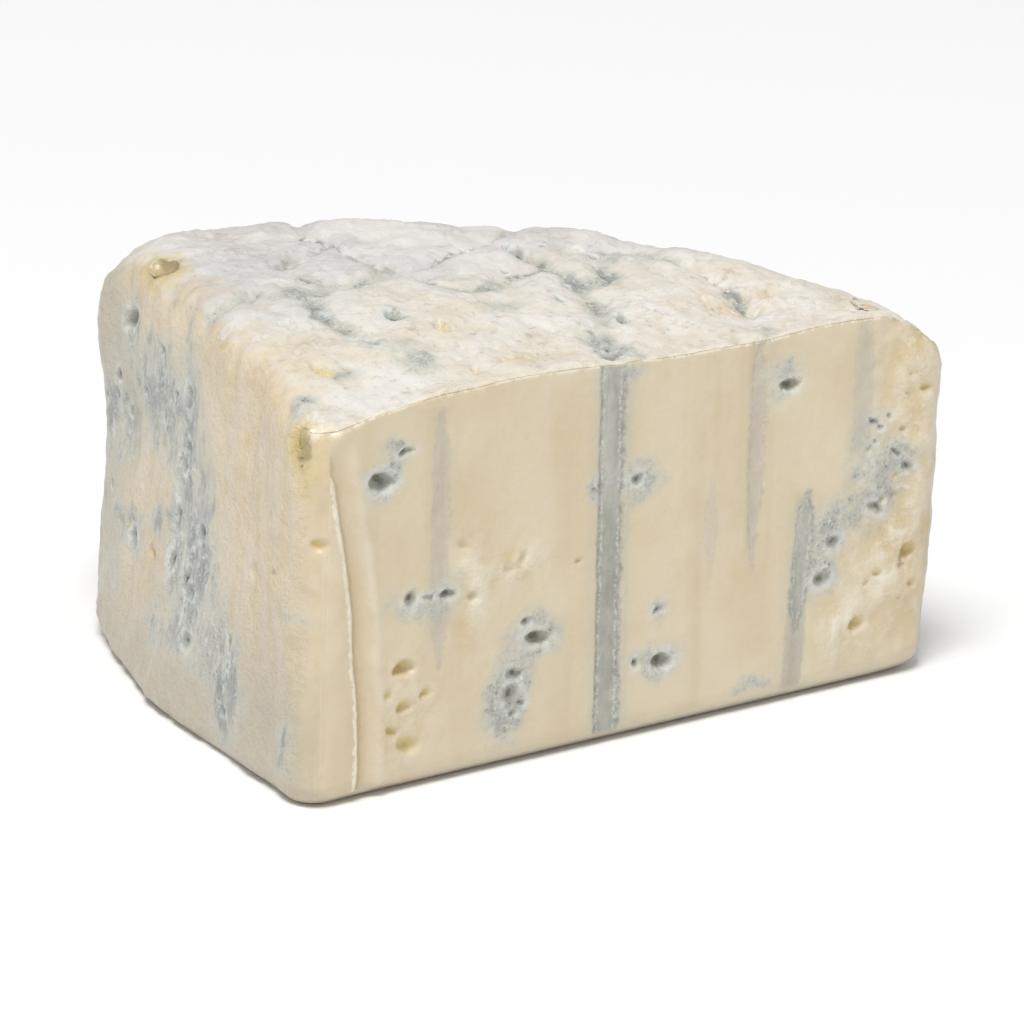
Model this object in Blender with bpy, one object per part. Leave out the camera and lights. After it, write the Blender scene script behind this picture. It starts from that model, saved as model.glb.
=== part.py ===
"""A wedge of blue-veined cheese, cut from half the height of a wheel.

The front corner of the wedge is near the centre of the wheel. Two upright cuts leave it: a clean
one to the right, and a rougher one to the left. The rounded back is the wheel's outer rind, and
the top is the wheel's flat rind, with the shallow net that its draining mat pressed in.
The wedge is worked out with its front corner at x = y = 0 and the right cut along +X, and then
moved so that the middle of its footprint is the origin. It stands on z = 0.
"""
import math

import bmesh
import bpy
import numpy as np
from mathutils import Matrix, Vector
from mathutils.geometry import delaunay_2d_cdt

MM = 0.001
NODE = "cheese_wedge"

# The plan of the wedge
RIGHT_CUT = 134 * MM
LEFT_CUT = 109 * MM
WEDGE_ANGLE = math.radians(78.5)
RIM_RADIUS = 144 * MM
FRONT_CORNER_RADIUS = 6 * MM
RIGHT_CORNER_RADIUS = 5 * MM
LEFT_CORNER_RADIUS = 16 * MM

# The height of the top over the front corner and over the far ends of the two cuts
HEIGHT_FRONT = 75.0 * MM
HEIGHT_RIGHT = 69.8 * MM
HEIGHT_LEFT = 72.8 * MM
CROWN = 1.8 * MM
EDGE_DIP = 1.9 * MM
EDGE_SAG = 1.6 * MM
EDGE_DIP_WIDTH = 22 * MM
CORNER_DIP = 4.4 * MM
CORNER_DIP_WIDTH = 25 * MM

# The wheel's rounded shoulder between its top and its rim, and how far the rim swells out
SHOULDER = 15.5 * MM
RIM_BELLY = 1.6 * MM
RIM_BELLY_HEIGHT = 48 * MM
RIM_BELLY_SPREAD = 26 * MM

# The rounding of the cuts' top edges and of the foot, side by side round the plan
SIDES = ("right cut", "right corner", "rim", "left corner", "left cut", "front corner")
TOP_ROUNDING = dict(zip(SIDES, np.array((1.2, 3.0, 3.0, 11.0, 6.5, 4.0)) * MM))
FOOT_ROUNDING = dict(zip(SIDES, np.array((4.0, 5.5, 6.0, 6.0, 3.2, 3.2)) * MM))
ROUNDING_BLEND = 6 * MM

# The left cut has slumped outwards at its foot
FOOT_BULGE = 7.5 * MM
FOOT_BULGE_PLACE = 58 * MM
FOOT_BULGE_LENGTH = 38 * MM
FOOT_BULGE_HEIGHT = 46 * MM

# The wire entered beside the front corner, and left a valley and a ridge that bend with the height
WIRE_FOOT = 10.4 * MM
WIRE_LEAN = 7.2 * MM
WIRE_LOW = 5 * MM
WIRE_HIGH = 65 * MM
WIRE_REACH = 1.1
WIRE_VALLEY = 1.1 * MM
WIRE_VALLEY_OFFSET = 2.6 * MM
WIRE_RIDGE = 0.6 * MM
WIRE_RIDGE_OFFSET = 5.4 * MM
WIRE_WIDTH = 1.7 * MM

# Flat-bottomed grooves that ripening needles left in the right cut: place, half width, top, foot, depth
NEEDLE_GROOVES = tuple(np.array(groove) * MM for groove in (
    (61.9, 2.7, 69.0, 2.0, 0.8),
    (92.6, 1.8, 68.0, 28.0, 0.5),
    (103.2, 1.9, 37.0, 3.0, 0.5),
    (27.2, 2.0, 66.0, 24.0, 0.4),
))
GROOVE_SQUARENESS = 4

# Grooves of the net on the top, as runs of plan points in millimetres
NET_DEPTH = 1.5 * MM
NET_WIDTH = 3.0 * MM
NET = (
    ((58, 95), (52, 84), (48, 76), (50, 69), (50, 61), (52, 53), (57, 51), (66, 55), (76, 58), (88, 65),
     (98, 74)),
    ((52, 53), (44, 50), (35, 48), (29, 44), (26, 36), (27, 26)),
    ((50, 69), (44, 67), (37, 64)),
    ((76, 58), (76, 50), (77, 42), (77, 33), (74, 22), (69, 12), (63, 3)),
    ((53, 51), (54, 43), (59, 36), (66, 40), (77, 42)),
    ((77, 33), (83, 31), (86, 38), (91, 45)),
    ((85, 48), (95, 44), (99, 36), (101, 26), (99, 12)),
    ((17, 67), (10, 59), (4, 52)),
    ((22, 51), (12, 48), (4, 41)),
)

# Broad hollows and swellings of the left cut: along the cut, height, half length, half height, out
LEFT_FORMS = tuple(np.array(form) * MM for form in (
    (24, 64, 5, 12, -1.8),
    (12, 44, 12, 16, 0.9),
    (45, 54, 14, 12, 1.0),
    (56, 42, 4, 22, -0.8),
    (74, 54, 12, 8, 0.8),
    (84, 40, 8, 8, -1.0),
    (34, 16, 8, 12, -0.9),
    (98, 54, 9, 14, 1.4),
))

# Eyes as centre and half sizes in millimetres: those of the right cut by x, z, width, height, depth
RIGHT_EYES = (
    (15.2, 56.2, 2.2, 1.5, 2.2),
    (33.8, 32.6, 1.8, 1.5, 1.2),
    (47.0, 22.4, 2.4, 1.6, 2.0),
    (42.2, 15.2, 1.6, 2.1, 1.2),
    (20.2, 22.0, 2.2, 1.7, 2.0),
    (21.2, 7.8, 2.4, 1.8, 1.5),
    (73.4, 12.9, 2.0, 1.6, 2.0),
    (99.2, 58.8, 2.0, 1.3, 1.8),
    (107.2, 21.6, 2.1, 1.9, 1.3),
    (115.2, 11.4, 2.1, 1.7, 1.6),
    (125.4, 23.4, 2.0, 1.9, 2.0),
)
# Eyes of the left cut: along the cut, height, half length, half height, depth
LEFT_EYES = (
    (84.0, 61.5, 2.4, 1.8, 3.0),
    (65.5, 24.5, 2.0, 1.8, 1.6),
    (22.0, 36.0, 1.6, 2.0, 1.3),
)
# Eyes of the top: x, y, half sizes along and across, turn in degrees, depth
TOP_EYES = (
    (42.4, 23.4, 1.4, 2.8, -15, 1.8),
    (14.4, 17.6, 1.8, 3.0, 20, 2.2),
    (37.6, 31.0, 1.3, 1.8, 0, 1.3),
    (76.4, 51.4, 1.2, 2.2, -20, 1.5),
)
# The deep hollow high on the front corner, and the fold at the far end of the left cut's top
CORNER_HOLLOW = ((1.6, 3.4, 65.5), (4.2, 4.8, 6.2))
TOP_FOLD = ((17.6, 75.5, 72.5), (2.6, 5.2, 3.0))

# The rind and the crumb are uneven
UNEVENNESS = 0.35 * MM
UNEVEN_WAVES = 7
UNEVEN_LENGTHS = (13 * MM, 34 * MM)
UNEVEN_SEED = 11

# The mesh
STEP_CUT = 3.3 * MM
STEP_RIM = 5.0 * MM
STEP_TOP = 3.6 * MM
ROUNDING_STEPS = 4
FOOT_STEPS = 2
EYE_SUBDIVISIONS = 2
WELD = 0.01 * MM

# The colour of the paste
PASTE_COLOUR = (0.701, 0.604, 0.434, 1.0)
PASTE_ROUGHNESS = 0.55


def clear_scene():
    """Remove every object of the open file."""
    for obj in list(bpy.data.objects):
        bpy.data.objects.remove(obj, do_unlink=True)


def turn(angle):
    """Unit vectors at the angles of an array, as rows."""
    return np.stack([np.cos(angle), np.sin(angle)], axis=-1)


def straight(start, end, normal, count):
    """Points from start up to, but without, end, with one normal for all."""
    share = np.arange(count)[:, None] / count
    points = start * (1 - share) + end * share
    return points, np.repeat(normal[None], count, axis=0)


def arc(centre, radius, start, end, count):
    """Points on an arc from one angle up to, but without, another, and their outward normals."""
    normals = turn(start + (end - start) * np.arange(count) / count)
    return centre + normals * radius, normals


def rim_centre():
    """Centre of the wheel's rim, which runs through the far ends of the two cuts."""
    right_end = np.array((RIGHT_CUT, 0.0))
    left_end = LEFT_CUT * turn(WEDGE_ANGLE)
    chord = left_end - right_end
    length = np.linalg.norm(chord)
    outward = np.array((chord[1], -chord[0])) / length
    return (right_end + left_end) / 2 - outward * math.sqrt(RIM_RADIUS**2 - (length / 2) ** 2)


def corner_centre(normal, along, radius):
    """Centre of the arc that rounds a cut into the rim: radius from the cut, and from the rim."""
    base = -normal * radius - rim_centre()
    half = along @ base
    rest = base @ base - (RIM_RADIUS - radius) ** 2
    return -normal * radius + along * (-half + math.sqrt(half * half - rest))


def plan_outline():
    """The outline of the wedge seen from above, anticlockwise, as points, normals and side names."""
    right_along, right_out = np.array((1.0, 0.0)), np.array((0.0, -1.0))
    left_along, left_out = turn(WEDGE_ANGLE), turn(WEDGE_ANGLE + math.pi / 2)
    middle = rim_centre()
    right_centre = corner_centre(right_out, right_along, RIGHT_CORNER_RADIUS)
    left_centre = corner_centre(left_out, left_along, LEFT_CORNER_RADIUS)
    half = WEDGE_ANGLE / 2
    front_centre = turn(half) * FRONT_CORNER_RADIUS / math.sin(half)
    right_turn = math.atan2(*(right_centre - middle)[::-1])
    left_turn = math.atan2(*(left_centre - middle)[::-1])
    cut_angle = WEDGE_ANGLE + math.pi / 2

    def steps(distance, step):
        return max(2, round(distance / step))

    pieces = (
        straight(front_centre + right_out * FRONT_CORNER_RADIUS,
                 right_centre + right_out * RIGHT_CORNER_RADIUS,
                 right_out, steps(RIGHT_CUT, STEP_CUT)),
        arc(right_centre, RIGHT_CORNER_RADIUS, -math.pi / 2, right_turn,
            steps(RIGHT_CORNER_RADIUS * (right_turn + math.pi / 2), STEP_CUT)),
        arc(middle, RIM_RADIUS, right_turn, left_turn,
            steps(RIM_RADIUS * (left_turn - right_turn), STEP_RIM)),
        arc(left_centre, LEFT_CORNER_RADIUS, left_turn, cut_angle,
            steps(LEFT_CORNER_RADIUS * (cut_angle - left_turn), STEP_CUT)),
        straight(left_centre + left_out * LEFT_CORNER_RADIUS,
                 front_centre + left_out * FRONT_CORNER_RADIUS,
                 left_out, steps(LEFT_CUT, STEP_CUT)),
        arc(front_centre, FRONT_CORNER_RADIUS, cut_angle, 1.5 * math.pi,
            steps(FRONT_CORNER_RADIUS * (1.5 * math.pi - cut_angle), STEP_CUT / 2)),
    )
    points = np.concatenate([piece[0] for piece in pieces])
    normals = np.concatenate([piece[1] for piece in pieces])
    sides = [side for side, piece in zip(SIDES, pieces) for _ in piece[0]]
    return points, normals, sides


def blended(values, points):
    """Values round the outline, averaged over ROUNDING_BLEND on both sides of each point."""
    steps = np.linalg.norm(np.roll(points, -1, axis=0) - points, axis=1)
    place = np.concatenate([[0], np.cumsum(steps)])[:-1]
    total = steps.sum()
    gap = np.abs(place[:, None] - place[None])
    gap = np.minimum(gap, total - gap)
    weight = np.exp(-(gap / ROUNDING_BLEND) ** 2) * (steps + np.roll(steps, 1))[None]
    return (weight * values[None]).sum(axis=1) / weight.sum(axis=1)


def groove_distance(x, y, run):
    """Distance from plan points to a run of straight pieces given in millimetres."""
    best = np.full(np.shape(x), np.inf)
    for start, end in zip(run[:-1], run[1:]):
        start, end = np.array(start) * MM, np.array(end) * MM
        along = end - start
        share = ((x - start[0]) * along[0] + (y - start[1]) * along[1]) / (along @ along)
        share = np.clip(share, 0, 1)
        away = np.hypot(x - start[0] - share * along[0], y - start[1] - share * along[1])
        best = np.minimum(best, away)
    return best


def uneven(x, y, z):
    """A sum of a few long waves in seeded directions, between about -1 and 1."""
    rng = np.random.default_rng(UNEVEN_SEED)
    total = 0
    for _ in range(UNEVEN_WAVES):
        direction = rng.normal(size=3)
        direction /= np.linalg.norm(direction)
        wave = rng.uniform(*UNEVEN_LENGTHS)
        phase = rng.uniform(0, math.tau)
        total = total + np.sin((x * direction[0] + y * direction[1] + z * direction[2])
                               * math.tau / wave + phase)
    return total / math.sqrt(UNEVEN_WAVES)


def top_height(x, y):
    """Height of the top over plan points: a tilted, crowned sheet with dips and the net's grooves."""
    across = y / (LEFT_CUT * math.sin(WEDGE_ANGLE))
    along = (x - across * LEFT_CUT * math.cos(WEDGE_ANGLE)) / RIGHT_CUT
    height = HEIGHT_FRONT + (HEIGHT_RIGHT - HEIGHT_FRONT) * along
    height += (HEIGHT_LEFT - HEIGHT_FRONT) * across + CROWN * 4 * along * across
    dip = EDGE_DIP + EDGE_SAG * np.sin(np.clip(along, 0, 1) * math.pi)
    height -= dip * np.exp(-(y / EDGE_DIP_WIDTH) ** 2)
    height -= CORNER_DIP * np.exp(-(x * x + y * y) / CORNER_DIP_WIDTH**2)
    net = np.min([groove_distance(x, y, run) for run in NET], axis=0)
    height -= NET_DEPTH * np.exp(-(net / NET_WIDTH) ** 2)
    height += UNEVENNESS * uneven(x, y, 0 * x)
    middle = rim_centre()
    inward = np.clip(RIM_RADIUS - np.hypot(x - middle[0], y - middle[1]), 0, SHOULDER)
    return height - SHOULDER + np.sqrt(SHOULDER**2 - (SHOULDER - inward) ** 2)


def right_relief(x, z):
    """Relief of the right cut, outwards: the wire's valley and ridge, and the needles' grooves."""
    rise = np.clip((z - WIRE_LOW) / (WIRE_HIGH - WIRE_LOW), 0, WIRE_REACH)
    wire = x - (WIRE_FOOT - WIRE_LEAN * rise**2)
    relief = -WIRE_VALLEY * np.exp(-((wire - WIRE_VALLEY_OFFSET) / WIRE_WIDTH) ** 2)
    relief += WIRE_RIDGE * np.exp(-((wire - WIRE_RIDGE_OFFSET) / WIRE_WIDTH) ** 2)
    for place, half_width, top, foot, depth in NEEDLE_GROOVES:
        inside = (z < top) & (z > foot)
        relief -= np.where(inside, depth * np.exp(-((x - place) / half_width) ** GROOVE_SQUARENESS), 0)
    return relief


def left_relief(along, z):
    """Relief of the left cut, outwards: the slumped foot and the broad hollows and swellings."""
    slump = np.exp(-((along - FOOT_BULGE_PLACE) / FOOT_BULGE_LENGTH) ** 2)
    relief = FOOT_BULGE * slump * np.clip(1 - z / FOOT_BULGE_HEIGHT, 0, 1)
    for place, height, half_length, half_height, out in LEFT_FORMS:
        relief += out * np.exp(-((along - place) / half_length) ** 2 - ((z - height) / half_height) ** 2)
    return relief


def rim_relief(z):
    """Relief of the rim, outwards: it swells between its shoulder and its foot."""
    return RIM_BELLY * np.exp(-((z - RIM_BELLY_HEIGHT) / RIM_BELLY_SPREAD) ** 2)


def wall_rings():
    """Rings of points from the foot of the wall, round its bottom edge, up and over its top edge."""
    outline, normals, sides = plan_outline()
    top_round = blended(np.array([TOP_ROUNDING[side] for side in sides]), outline)
    foot_round = blended(np.array([FOOT_ROUNDING[side] for side in sides]), outline)
    over_rim = blended(np.array([side in SIDES[1:4] for side in sides], float), outline)
    on_right = blended(np.array([side == "right cut" for side in sides], float), outline)
    on_left = np.clip(normals @ turn(WEDGE_ANGLE + math.pi / 2), 0, 1)
    inset_top = top_round + (SHOULDER - top_round) * over_rim
    brim = top_height(*outline.T) - top_round
    rows = round(HEIGHT_LEFT / STEP_CUT)
    foot = [("foot", k / FOOT_STEPS) for k in range(FOOT_STEPS)]
    wall = [("wall", k / rows) for k in range(rows + 1)]
    top = [("top", (k + 1) / ROUNDING_STEPS) for k in range(ROUNDING_STEPS)]
    rings = []
    for zone, share in foot + wall + top:
        angle = share * math.pi / 2
        if zone == "foot":
            plan = outline - normals * (foot_round * (1 - math.sin(angle)))[:, None]
            z = foot_round * (1 - math.cos(angle))
            fade = share
        elif zone == "wall":
            plan = outline
            z = foot_round + (brim - foot_round) * share
            fade = 1
        else:
            plan = outline - normals * (inset_top * (1 - math.cos(angle)))[:, None]
            z = top_height(*plan.T) - top_round * (1 - math.sin(angle))
            fade = 1 - share
        slump_fade = fade if zone == "top" else 1
        relief = on_right * right_relief(plan[:, 0], z) * fade
        relief += on_left * left_relief(plan @ turn(WEDGE_ANGLE), z) * slump_fade
        relief += (1 - on_right) * (1 - on_left) * rim_relief(z) * fade
        relief += UNEVENNESS * (1 - on_right) * uneven(plan[:, 0], plan[:, 1], z) * fade
        plan = plan + normals * relief[:, None]
        rings.append(np.column_stack([plan, z]))
    rings[-1][:, 2] = top_height(*rings[-1][:, :2].T)
    return rings


def top_points(rim):
    """Staggered rows of plan points inside a closed outline, clear of its edge."""
    low, high = rim.min(axis=0), rim.max(axis=0)
    pitch = STEP_TOP * math.sqrt(3) / 2
    kept = []
    following = np.roll(rim, -1, axis=0)
    for row, y in enumerate(np.arange(low[1], high[1], pitch)):
        x = np.arange(low[0] + (row % 2) * STEP_TOP / 2, high[0], STEP_TOP)
        crossing = (rim[:, 1] > y) != (following[:, 1] > y)
        start, end = rim[crossing], following[crossing]
        cross = start[:, 0] + (y - start[:, 1]) * (end[:, 0] - start[:, 0]) / (end[:, 1] - start[:, 1])
        inside = (cross[None] > x[:, None]).sum(axis=1) % 2 == 1
        points = np.column_stack([x, np.full_like(x, y)])[inside]
        gap = np.linalg.norm(points[:, None] - rim[None], axis=2).min(axis=1)
        kept.append(points[gap > STEP_TOP / 2])
    return np.concatenate(kept)


def wedge_mesh():
    """The uncut wedge: rings of wall faces, a triangulated top and one flat bottom face."""
    rings = wall_rings()
    count = len(rings[0])
    bm = bmesh.new()
    rows = [[bm.verts.new(point) for point in ring] for ring in rings]
    for lower, upper in zip(rows[:-1], rows[1:]):
        for k in range(count):
            after = (k + 1) % count
            bm.faces.new((lower[k], lower[after], upper[after], upper[k]))
    bm.faces.new(reversed(rows[0]))
    rim = rings[-1][:, :2]
    inner = top_points(rim)
    plan = [Vector(point) for point in np.concatenate([rim, inner])]
    edges = [(k, (k + 1) % count) for k in range(count)]
    found = delaunay_2d_cdt(plan, edges, [], 1, WELD)
    flat = np.array([tuple(point) for point in found[0]])
    top = [bm.verts.new(point) for point in np.column_stack([flat, top_height(*flat.T)])]
    for face in found[2]:
        bm.faces.new([top[k] for k in face])
    bmesh.ops.remove_doubles(bm, verts=bm.verts, dist=WELD)
    bmesh.ops.recalc_face_normals(bm, faces=bm.faces)
    bmesh.ops.triangulate(bm, faces=[face for face in bm.faces if len(face.verts) == 4])
    return bm


def ellipsoid(bm, centre, half_sizes, turned=Matrix.Identity(4)):
    """Add a closed ellipsoid with its centre and half sizes in millimetres."""
    place = Matrix.Translation(Vector(centre) * MM)
    stretch = Matrix.Diagonal((*(Vector(half_sizes) * MM), 1))
    bmesh.ops.create_icosphere(bm, subdivisions=EYE_SUBDIVISIONS, radius=1,
                               matrix=place @ turned @ stretch)


def eye_cutters():
    """All the hollows of the cheese as one mesh of ellipsoids that don't meet."""
    bm = bmesh.new()
    for x, z, half_width, half_height, depth in RIGHT_EYES:
        out = right_relief(x * MM, z * MM) / MM
        ellipsoid(bm, (x, -out, z), (half_width, depth, half_height))
    left_turn = Matrix.Rotation(WEDGE_ANGLE, 4, "Z")
    for along, z, half_length, half_height, depth in LEFT_EYES:
        out = left_relief(along * MM, z * MM) / MM
        centre = left_turn @ Vector((along, out, z))
        ellipsoid(bm, centre, (half_length, depth, half_height), left_turn)
    for x, y, half_along, half_across, degrees, depth in TOP_EYES:
        z = float(top_height(np.array(x * MM), np.array(y * MM))) / MM
        turned = Matrix.Rotation(math.radians(degrees), 4, "Z")
        ellipsoid(bm, (x, y, z), (half_along, half_across, depth), turned)
    ellipsoid(bm, *CORNER_HOLLOW)
    ellipsoid(bm, *TOP_FOLD)
    return bm


def add_object(name, bm, material=None):
    """Put a bmesh into the scene as an object with smooth shading."""
    mesh = bpy.data.meshes.new(name)
    bm.to_mesh(mesh)
    bm.free()
    mesh.shade_smooth()
    if material:
        mesh.materials.append(material)
    obj = bpy.data.objects.new(name, mesh)
    bpy.context.collection.objects.link(obj)
    return obj


def paste_material():
    """The cream paste: soft, slightly moist and without metal."""
    material = bpy.data.materials.new("cheese")
    material.use_nodes = True
    shader = material.node_tree.nodes["Principled BSDF"]
    shader.inputs["Base Color"].default_value = PASTE_COLOUR
    shader.inputs["Roughness"].default_value = PASTE_ROUGHNESS
    shader.inputs["Metallic"].default_value = 0.0
    return material


def main():
    """Build the wedge, move its footprint's middle to the origin and cut its eyes."""
    clear_scene()
    wedge = wedge_mesh()
    corners = np.array([vert.co for vert in wedge.verts])
    middle = (corners.min(axis=0) + corners.max(axis=0)) / 2
    to_origin = Vector((-middle[0], -middle[1], 0))
    cutters = eye_cutters()
    for bm in (wedge, cutters):
        bmesh.ops.translate(bm, verts=bm.verts, vec=to_origin)
    cheese = add_object(NODE, wedge, paste_material())
    eyes = add_object("eyes", cutters)
    eyes.hide_render = True
    eyes.display_type = "WIRE"
    cut = cheese.modifiers.new("eyes", "BOOLEAN")
    cut.operation = "DIFFERENCE"
    cut.solver = "EXACT"
    cut.object = eyes


main()
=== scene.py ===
# %% [markdown]
# # A wedge of blue cheese
# The real thing is a piece of soft blue cheese, cut from half the height of a wheel. Its front
# corner was near the middle of the wheel, and its back is the wheel's rounded rind. One upright
# cut is clean and shows the paste with its needle tracks and eyes. The other is rough and full of
# mould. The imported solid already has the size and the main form, and it is the frame here. This
# script makes the surface: first one fine closed mesh with every hollow and ridge in it, then one
# material that reads where the mould, the rind and the eyes are, and last the light and camera.

# %% Load the frame and keep the solid's box
import functools
import itertools
import math

import bmesh
import bpy
import numpy as np
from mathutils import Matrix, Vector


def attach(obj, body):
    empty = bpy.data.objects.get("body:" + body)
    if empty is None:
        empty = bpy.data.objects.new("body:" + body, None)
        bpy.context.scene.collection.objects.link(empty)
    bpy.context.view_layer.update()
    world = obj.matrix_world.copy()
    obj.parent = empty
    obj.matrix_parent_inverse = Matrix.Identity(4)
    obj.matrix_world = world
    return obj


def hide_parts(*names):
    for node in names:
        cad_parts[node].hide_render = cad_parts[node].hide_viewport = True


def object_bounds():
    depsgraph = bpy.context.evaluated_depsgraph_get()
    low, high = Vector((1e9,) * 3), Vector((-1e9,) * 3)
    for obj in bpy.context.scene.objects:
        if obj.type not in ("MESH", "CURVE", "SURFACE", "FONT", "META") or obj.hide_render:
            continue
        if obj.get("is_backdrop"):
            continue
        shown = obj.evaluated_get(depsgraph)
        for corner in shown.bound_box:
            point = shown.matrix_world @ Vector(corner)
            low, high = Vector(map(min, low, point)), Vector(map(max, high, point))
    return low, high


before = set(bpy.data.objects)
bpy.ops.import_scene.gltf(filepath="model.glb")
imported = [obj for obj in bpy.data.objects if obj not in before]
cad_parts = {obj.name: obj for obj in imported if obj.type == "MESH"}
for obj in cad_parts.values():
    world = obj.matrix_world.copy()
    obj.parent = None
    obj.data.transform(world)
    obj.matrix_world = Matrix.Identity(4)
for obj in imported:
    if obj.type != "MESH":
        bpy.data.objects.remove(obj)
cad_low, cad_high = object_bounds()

MM = 0.001
NODE = "cheese_wedge"
print("solid box in mm:", [round(v / MM, 1) for v in (*cad_low, *cad_high)])

# %% [markdown]
# ## The sizes of the wedge
# A cheesemonger would give the two cuts, the angle between them, the wheel's radius and the
# height. The same few numbers drive the surface here. They are written in the wedge's own plan,
# with the front corner at x = y = 0 and the clean cut along +X, because every crack and eye is
# easiest to place that way. The object's own origin is the middle of the footprint, so the
# finished mesh is moved there in one step.

# %% Sizes of the wedge
RIGHT_CUT = 134 * MM
LEFT_CUT = 109 * MM
WEDGE_ANGLE = math.radians(78.5)
RIM_RADIUS = 144 * MM
FRONT_RADIUS, RIGHT_RADIUS, LEFT_RADIUS = 6 * MM, 5 * MM, 16 * MM
HEIGHT_FRONT, HEIGHT_RIGHT, HEIGHT_LEFT = 75.0 * MM, 69.8 * MM, 72.8 * MM
CROWN = 1.8 * MM
SHOULDER = 15.5 * MM
FRONT_CORNER = np.array((-66.99, -51.75, 0.0)) * MM

RIGHT_ALONG, RIGHT_OUT = np.array((1.0, 0.0)), np.array((0.0, -1.0))
LEFT_ALONG = np.array((math.cos(WEDGE_ANGLE), math.sin(WEDGE_ANGLE)))
LEFT_OUT = np.array((-math.sin(WEDGE_ANGLE), math.cos(WEDGE_ANGLE)))

right_end, left_end = RIGHT_CUT * RIGHT_ALONG, LEFT_CUT * LEFT_ALONG
chord = left_end - right_end
half_chord = np.linalg.norm(chord) / 2
outward = np.array((chord[1], -chord[0])) / (2 * half_chord)
RIM_CENTRE = (right_end + left_end) / 2 - outward * math.sqrt(RIM_RADIUS**2 - half_chord**2)
print("centre of the wheel's rim in mm:", np.round(RIM_CENTRE / MM, 1))

# %% [markdown]
# ## The outline in plan
# Seen from above, the wedge is two straight cuts, one long arc of rind and three rounded corners.
# Each stretch could be a Bezier curve, but an arc is exact and needs one line of arithmetic. The
# outline is sampled densely, and then read again at the points where the mesh needs its columns.

# %% The outline as straight runs and arcs
DENSE = 160


def bell(value, width):
    """A bell curve: exp(-(value / width)^2)."""
    return np.exp(-((value / width) ** 2))


def unit(angle):
    """Unit vectors at the given angles: cosine and sine side by side."""
    return np.stack([np.cos(angle), np.sin(angle)], axis=-1)


def straight(start, end, normal):
    """Evenly spaced points from start to end, all with the same normal."""
    share = np.arange(DENSE)[:, None] / DENSE
    return start * (1 - share) + end * share, np.repeat(normal[None], DENSE, axis=0)


def arc(centre, radius, start, end):
    """centre + radius * (cos a, sin a) for a running from start to end."""
    normals = unit(start + (end - start) * np.arange(DENSE) / DENSE)
    return centre + normals * radius, normals


def corner_centre(normal, along, radius):
    """The point that is one radius inside a cut and one radius inside the rim."""
    base = -normal * radius - RIM_CENTRE
    half = along @ base
    rest = base @ base - (RIM_RADIUS - radius) ** 2
    return -normal * radius + along * (-half + math.sqrt(half * half - rest))


def plan_outline():
    """The closed outline, anticlockwise from the clean cut, with normals and a side number."""
    right = corner_centre(RIGHT_OUT, RIGHT_ALONG, RIGHT_RADIUS)
    left = corner_centre(LEFT_OUT, LEFT_ALONG, LEFT_RADIUS)
    front = unit(WEDGE_ANGLE / 2) * FRONT_RADIUS / math.sin(WEDGE_ANGLE / 2)
    right_turn = math.atan2(*(right - RIM_CENTRE)[::-1])
    left_turn = math.atan2(*(left - RIM_CENTRE)[::-1])
    cut_turn = WEDGE_ANGLE + math.pi / 2
    stretches = (
        straight(front + RIGHT_OUT * FRONT_RADIUS, right + RIGHT_OUT * RIGHT_RADIUS, RIGHT_OUT),
        arc(right, RIGHT_RADIUS, -math.pi / 2, right_turn),
        arc(RIM_CENTRE, RIM_RADIUS, right_turn, left_turn),
        arc(left, LEFT_RADIUS, left_turn, cut_turn),
        straight(left + LEFT_OUT * LEFT_RADIUS, front + LEFT_OUT * FRONT_RADIUS, LEFT_OUT),
        arc(front, FRONT_RADIUS, cut_turn, 1.5 * math.pi),
    )
    side = np.repeat(np.arange(len(stretches)), DENSE)
    return np.concatenate([s[0] for s in stretches]), np.concatenate([s[1] for s in stretches]), side


dense_points, dense_normals, dense_side = plan_outline()
dense_steps = np.linalg.norm(np.roll(dense_points, -1, axis=0) - dense_points, axis=1)
dense_place = np.concatenate([[0], np.cumsum(dense_steps)])
print("round the plan in mm:", round(dense_place[-1] / MM, 1))

# %% [markdown]
# ## Columns for the mesh
# The top has to be a grid of four sides, so that every column of the wall runs on into a row of
# the top. Its four corners are the middles of the three rounded corners and one point on the rim.
# Opposite sides of the grid have equal counts, so the outline is read again with those counts.

# %% Read the outline at the mesh's columns
ALONG_RIGHT = 86
ALONG_LEFT = 70
ROUNDING_BLEND = 6 * MM


def middle_of(side):
    """Distance along the outline to the middle of one of its stretches."""
    inside = dense_place[:-1][dense_side == side]
    return (inside[0] + inside[-1]) / 2


def read_outline(distance, values):
    """Values of the dense outline at distances along it, going round past its start."""
    place = dense_place
    closed = np.concatenate([values, values[:1]])
    distance = np.mod(distance, place[-1])
    return np.stack([np.interp(distance, place, column) for column in closed.T], axis=-1)


whole = dense_place[-1]
corner_front, corner_right, corner_left = middle_of(5) - whole, middle_of(1), middle_of(3)
rim_share = ALONG_LEFT / (ALONG_LEFT + ALONG_RIGHT)
corner_rim = corner_right + (corner_left - corner_right) * rim_share
stops = (corner_front, corner_right, corner_rim, corner_left, corner_front + whole)
counts = (ALONG_RIGHT, ALONG_LEFT, ALONG_RIGHT, ALONG_LEFT)
columns = np.concatenate([
    np.linspace(start, end, count, endpoint=False)
    for start, end, count in zip(stops[:-1], stops[1:], counts)
])
outline = read_outline(columns, dense_points)
normals = read_outline(columns, dense_normals)
normals /= np.linalg.norm(normals, axis=1)[:, None]
side = dense_side[np.clip(np.searchsorted(dense_place, np.mod(columns, whole)) - 1, 0, None)]


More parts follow.
